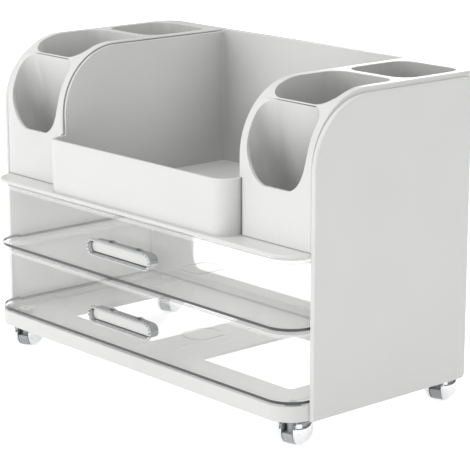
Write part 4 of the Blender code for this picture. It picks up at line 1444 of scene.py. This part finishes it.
@dataclass
class Pulls:
    """Cast pulls with a beaded rim, a pearl plate and two screws each."""

    plan: Plan
    length: float = 0.0695
    height: float = 0.0130
    depth: float = 0.0094
    lift: float = 0.0228
    bead: float = 0.0012
    beads: int = 56
    lip_inset: float = 0.0003
    lip: float = 0.0013
    shank_inset: float = 0.0016
    recess: float = 0.0037
    foot_rise: float = 0.0010
    foot_depth: float = 0.0022
    plate: float = 0.0009
    screw_half: float = 0.015
    screw_radius: float = 0.0014
    screw_reach: float = 0.0031
    head_radius: float = 0.0030
    head_height: float = 0.0016
    head_round: float = 0.0011
    head_root: float = 0.0005
    slot_depth: float = 0.0007
    slot_half: float = 0.00035
    wall: float = 0.0022
    wall_set: float = 0.0006
    edge: float = 0.00025
    plate_edge: float = 0.0004
    screw_edge: float = 0.00012

    @property
    def bead_line(self) -> float:
        """Depth of the beads' middles."""
        return -self.plan.clearance - self.depth + self.bead

    def _bead_places(self) -> list[Point]:
        """Middles of the beads round the rim.

        Returns:
            The places, around the middle of the pull.
        """
        radius = self.height / 2 - self.bead
        straight = self.length - self.height
        around = 2 * straight + 2 * math.pi * radius
        places = []
        for number in range(self.beads):
            run = (number + 0.5) * around / self.beads
            if run < straight:
                places.append((run - straight / 2, self.bead_line, -radius))
                continue
            run -= straight
            if run < math.pi * radius:
                angle = run / radius - math.pi / 2
                x = straight / 2 + radius * math.cos(angle)
                places.append((x, self.bead_line, radius * math.sin(angle)))
                continue
            run -= math.pi * radius
            if run < straight:
                places.append((straight / 2 - run, self.bead_line, radius))
                continue
            angle = (run - straight) / radius + math.pi / 2
            x = -straight / 2 + radius * math.cos(angle)
            places.append((x, self.bead_line, radius * math.sin(angle)))
        return places

    def shape(self) -> Bench:
        """Model one pull around its place on the drawer's front wall.

        Returns:
            The pull with its beads.
        """
        back, line = -self.plan.clearance, self.bead_line
        inset = 2 * self.lip_inset
        pull = Bench.slab(self.length - inset, self.height - inset, line, line + self.lip)
        inset = 2 * self.shank_inset
        pull.fused(Bench.slab(self.length - inset, self.height - inset, line + self.lip / 2, back))
        foot = self.height / 2 - self.shank_inset + self.foot_rise
        screws = [(side * self.screw_half, 0, 0) for side in (-1, 1)]
        for middle in screws:
            pull.fused(Bench.rod(foot, back - self.foot_depth, back, Axis.Y, middle, 40))
        inset = 4 * self.bead
        pull.cut(Bench.slab(self.length - inset, self.height - inset, line - OVERRUN, line + self.recess))
        bore = self.screw_radius + self.plan.clearance
        for middle in screws:
            pull.cut(Bench.rod(bore, back - self.screw_reach, back + OVERRUN, Axis.Y, middle, 24))
        pull.softened(self.edge, 2)
        pattern = Bench.ball(self.bead, 12, 7).shaded(80)
        beads = [pattern.placed(place) for place in self._bead_places()]
        pattern.discard()
        return pull.joined(beads)

    def inlay(self) -> Bench:
        """Model the pearl plate in the recess of a pull.

        Returns:
            The plate.
        """
        inset = 4 * self.bead + 2 * self.plan.clearance
        rear = self.bead - self.depth + self.recess - 2 * self.plan.clearance
        front = rear - self.plate
        plate = Bench.slab(self.length - inset, self.height - inset, front, rear)
        return plate.rounded(flat_at(1, front), self.plate_edge, 4).shaded()

    def screw(self) -> Bench:
        """Model one screw around the wall's outer face.

        Returns:
            The screw.
        """
        seat = self.wall + self.plan.clearance
        top = seat + self.head_height
        head = Bench.rod(self.head_radius, seat, top, Axis.Y, steps=32)
        head.rounded(flat_at(1, top), self.head_round, 6)
        root = seat + self.head_root
        head.fused(Bench.rod(self.screw_radius, -self.screw_reach, root, Axis.Y, steps=24))
        across, half = 2 * self.head_radius, self.slot_half
        slot = Bench.block((-across, top - self.slot_depth, -half), (across, top + OVERRUN, half))
        return head.cut(slot).softened(self.screw_edge, 2)

    def build(self, palette: Palette) -> None:
        """Model the pull, plate and screw once and copy them to both drawers.

        Args:
            palette: the finishes.
        """
        pull, plate, screw = self.shape(), self.inlay(), self.screw()
        wall_face = self.plan.front + self.wall_set
        for level, low in (("lower", self.plan.lower_drawer_low), ("upper", self.plan.upper_drawer_low)):
            place = (0.0, wall_face, low + self.lift)
            pull.placed(place).deliver(f"{level}_pull", Slot.CHROME, palette)
            plate.placed(place).deliver(f"{level}_pull_inlay", Slot.PEARL, palette)
            for word, side in (("left", -1), ("right", 1)):
                spot = (side * self.screw_half, wall_face, low + self.lift)
                screw.placed(spot).deliver(f"{level}_pull_{word}_screw", Slot.ZINC, palette)
        for mould in (pull, plate, screw):
            mould.discard()


@dataclass
class Casters:
    """Four twin-wheel ball casters."""

    plan: Plan
    ball: float = 0.0121
    wheel: float = 0.0109
    tread: float = 0.0020
    shoulder: float = 0.0004
    trail: float = 0.0032
    fork_half: float = 0.0039
    fork: float = 0.0107
    gap: float = 0.0004
    neck: float = 0.0036
    step: float = 0.0012
    axle: float = 0.0014
    axle_half: float = 0.0088
    pin: float = 0.0019
    collar: float = 0.0036
    collar_low: float = 0.0223
    collar_top: float = 0.0231
    neck_top: float = 0.0220
    sink: float = 0.0072
    pin_top: float = 0.0298
    play: float = 0.0003
    wheel_edge: float = 0.0002
    fork_edge: float = 0.0004
    pin_edge: float = 0.0003
    collar_edge: float = 0.0002
    places: dict[str, tuple[float, float, float]] = field(
        default_factory=lambda: {
            "front_left": (-0.1461, -0.06385, 30.0),
            "front_right": (0.1461, -0.06385, 18.0),
            "rear_left": (-0.1461, 0.07345, 24.0),
            "rear_right": (0.1461, 0.07345, 21.0),
        }
    )

    def wheel_shape(self) -> Bench:
        """Model the right wheel around the middle of the ball.

        Returns:
            The wheel.
        """
        inner = self.fork_half + self.gap
        outer = inner + self.tread
        rim = Bench.rod(self.wheel, inner, outer, Axis.X, steps=64)
        rim.rounded(round_ends(0), self.shoulder, 4)
        rim.fused(Bench.ball(self.ball, 64, 40).halved((outer - self.gap, 0, 0), (1, 0, 0)))
        bore = self.axle + self.play
        rim.cut(Bench.rod(bore, inner - OVERRUN, self.axle_half + self.play, Axis.X, steps=24))
        return rim.softened(self.wheel_edge, 2, 30.0)

    def fork_shape(self) -> Bench:
        """Model the fork around the swivel axis at the height of the axle.

        Returns:
            The fork.
        """
        middle = (0, self.trail, 0)
        fork = Bench.rod(self.fork, -self.fork_half, self.fork_half, Axis.X, middle, 64)
        reach = self.fork_half + OVERRUN
        front = self.trail - self.fork - OVERRUN
        fork.cut(Bench.block((-reach, front, -self.step), (reach, 0, self.fork + OVERRUN)))
        top = self.neck_top - self.wheel
        fork.fused(Bench.rod(self.neck, -self.step - self.axle, top, Axis.Z, steps=40))
        fork.cut(Bench.rod(self.axle + self.play, -reach, reach, Axis.X, middle, 24))
        bore, bottom = self.pin + self.play, top - self.sink - self.play
        fork.cut(Bench.rod(bore, bottom, top + OVERRUN, Axis.Z, steps=24))
        return fork.softened(self.fork_edge)

    def pin_shape(self) -> Bench:
        """Model the swivel pin with its collar, upright over the origin.

        Returns:
            The pin.
        """
        pin = Bench.rod(self.pin, self.neck_top - self.sink, self.pin_top, Axis.Z, steps=32)
        pin.rounded(round_ends(2), self.pin_edge, 2)
        collar = Bench.rod(self.collar, self.collar_low, self.collar_top, Axis.Z, steps=40)
        collar.rounded(round_ends(2), self.collar_edge, 2)
        return pin.fused(collar).shaded()

    def axle_shape(self) -> Bench:
        """Model the axle around the middle of the ball."""
        axle = Bench.rod(self.axle, -self.axle_half, self.axle_half, Axis.X, steps=32)
        return axle.rounded(round_ends(0), self.pin_edge, 3).shaded()

    def build(self, palette: Palette) -> None:
        """Model each piece of a caster once and copy it to the four corners.

        Args:
            palette: the finishes.
        """
        right, fork = self.wheel_shape(), self.fork_shape()
        pin, axle = self.pin_shape(), self.axle_shape()
        left = right.mirrored()
        for corner, (x, y, degrees) in self.places.items():
            turn = math.radians(degrees)
            middle = (x - self.trail * math.sin(turn), y + self.trail * math.cos(turn), self.wheel)
            pin.placed((x, y, 0)).deliver(f"{corner}_caster_pin", Slot.ZINC, palette)
            fork.placed((x, y, self.wheel), turn).deliver(f"{corner}_caster_fork", Slot.GREY, palette)
            axle.placed(middle, turn).deliver(f"{corner}_caster_axle", Slot.ZINC, palette)
            left.placed(middle, turn).deliver(f"{corner}_caster_left_wheel", Slot.PLATED, palette)
            right.placed(middle, turn).deliver(f"{corner}_caster_right_wheel", Slot.PLATED, palette)
        for mould in (left, right, fork, pin, axle):
            mould.discard()


# Studio


@dataclass(frozen=True)
class Softbox:
    """One large lamp that faces the object."""

    place: Point
    size: float
    power: float
    mirrored: bool = True

    def build(self, name: str) -> None:
        """Add the lamp.

        Args:
            name: its name.
        """
        lamp = bpy.data.lights.new(name, "AREA")
        lamp.shape = "SQUARE"
        lamp.size = self.size
        lamp.energy = self.power
        item = bpy.data.objects.new(name, lamp)
        item.location = self.place
        item.visible_glossy = self.mirrored
        item.rotation_euler = (Vector((0, 0, 0.11)) - item.location).to_track_quat("-Z", "Y").to_euler()
        bpy.context.collection.objects.link(item)


@dataclass
class Studio:
    """White sweep, soft lamps and the camera of the photograph."""

    azimuth: float = 48.665
    elevation: float = 13.816
    distance: float = 1.4131
    lens: float = 153.6
    aim_side: float = 0.01153
    aim_rise: float = -0.01276
    aim_height: float = 0.115
    sky: float = 0.63
    horizon: float = 0.22
    glow: float = 0.7
    glow_start: float = 0.35
    floor_size: float = 14.0
    transparent_bounces: int = 32
    lamps: dict[str, Softbox] = field(
        default_factory=lambda: {
            "front_softbox": Softbox((-0.6, -2.1, 0.6), 1.2, 17.0, False),
            "right_softbox": Softbox((2.1, -0.5, 0.9), 1.2, 6.8),
            "rear_softbox": Softbox((-1.0, 1.9, 0.4), 1.2, 20.0),
            "top_softbox": Softbox((-0.2, -0.5, 2.2), 1.2, 9.0),
        }
    )

    def _camera(self) -> None:
        """Add the camera at the photograph's viewpoint."""
        turn, rise = math.radians(self.azimuth), math.radians(self.elevation)
        back = Vector((math.sin(turn) * math.cos(rise), -math.cos(turn) * math.cos(rise), math.sin(rise)))
        right = Vector((math.cos(turn), math.sin(turn), 0.0))
        up = back.cross(right)
        aim = right * self.aim_side + up * self.aim_rise + Vector((0, 0, self.aim_height))
        data = bpy.data.cameras.new("camera")
        data.lens = self.lens
        data.sensor_width = SENSOR
        data.clip_start = 0.05
        data.clip_end = 50.0
        item = bpy.data.objects.new("camera", data)
        item.location = aim + back * self.distance
        item.rotation_euler = (-back).to_track_quat("-Z", "Y").to_euler()
        bpy.context.collection.objects.link(item)
        bpy.context.scene.camera = item

    def _floor(self) -> None:
        """Add the white floor, which keeps the object's shadow."""
        bpy.ops.object.select_all(action="DESELECT")
        bpy.ops.mesh.primitive_plane_add(size=self.floor_size, location=ORIGIN)
        floor = bpy.context.object
        floor.name = "floor"
        graph = Graph("floor")
        path = graph.node("ShaderNodeLightPath").outputs
        camera, glossy, through = (Signal(graph, path[f"Is {ray} Ray"]) for ray in RAYS)
        shown = (camera + glossy + through).clamped()
        cloud = graph.noise(0.4, 1.0)
        apart = graph.node("ShaderNodeVectorMath", {"operation": "LENGTH"}, {0: graph.place()})
        far = ((Signal(graph, apart.outputs["Value"]) - self.glow_start) * 2.2).clamped()
        colour = graph.blend(cloud, (0.90, 0.90, 0.90, 1.0), (0.92, 0.92, 0.92, 1.0))
        inputs = {"Base Color": colour, "Roughness": 0.9, "Specular IOR Level": 0.1}
        strength = shown * (far * (1.0 - self.glow) + self.glow)
        glow = graph.node("ShaderNodeEmission", None, {"Color": WHITE, "Strength": strength}).outputs[0]
        both = graph.node("ShaderNodeAddShader", None, {0: graph.principled(inputs), 1: glow})
        graph.closed(both.outputs[0])
        floor.data.materials.append(graph.material)

    def _sky(self) -> None:
        """Light the scene evenly and show white behind it."""
        graph = Graph("studio", Kind.WORLD)
        path = graph.node("ShaderNodeLightPath").outputs
        camera, glossy, through = (Signal(graph, path[f"Is {ray} Ray"]) for ray in RAYS)
        generated = graph.node("ShaderNodeTexCoord").outputs["Generated"]
        rise = ((graph.rise(generated) - 0.15) * 2.2).clamped()
        mirrored = rise * (1.0 - self.horizon) + self.horizon
        seen = (camera + through).clamped()
        strength = seen + (1.0 - seen) * (glossy * mirrored + (1.0 - glossy) * self.sky)
        sky = graph.node("ShaderNodeBackground", None, {"Color": WHITE, "Strength": strength})
        graph.node("ShaderNodeOutputWorld", None, {"Surface": sky.outputs[0]})
        bpy.context.scene.world = graph.material

    def build(self) -> None:
        """Add camera, floor, lamps and sky."""
        bpy.context.scene.view_settings.view_transform = "Standard"
        bpy.context.scene.cycles.transparent_max_bounces = self.transparent_bounces
        self._camera()
        self._floor()
        self._sky()
        for name, lamp in self.lamps.items():
            lamp.build(name)


def main() -> None:
    """Build the studio and every piece in order."""
    logging.basicConfig(level=logging.INFO, format="%(message)s")
    Studio().build()
    palette, plan = Palette(), Plan()
    for part in (BaseTray, SidePanels, RearFrame, TopTray, BrushTowers, Drawers, Pulls, Casters):
        part(plan).build(palette)


if __name__ == "__main__":
    main()
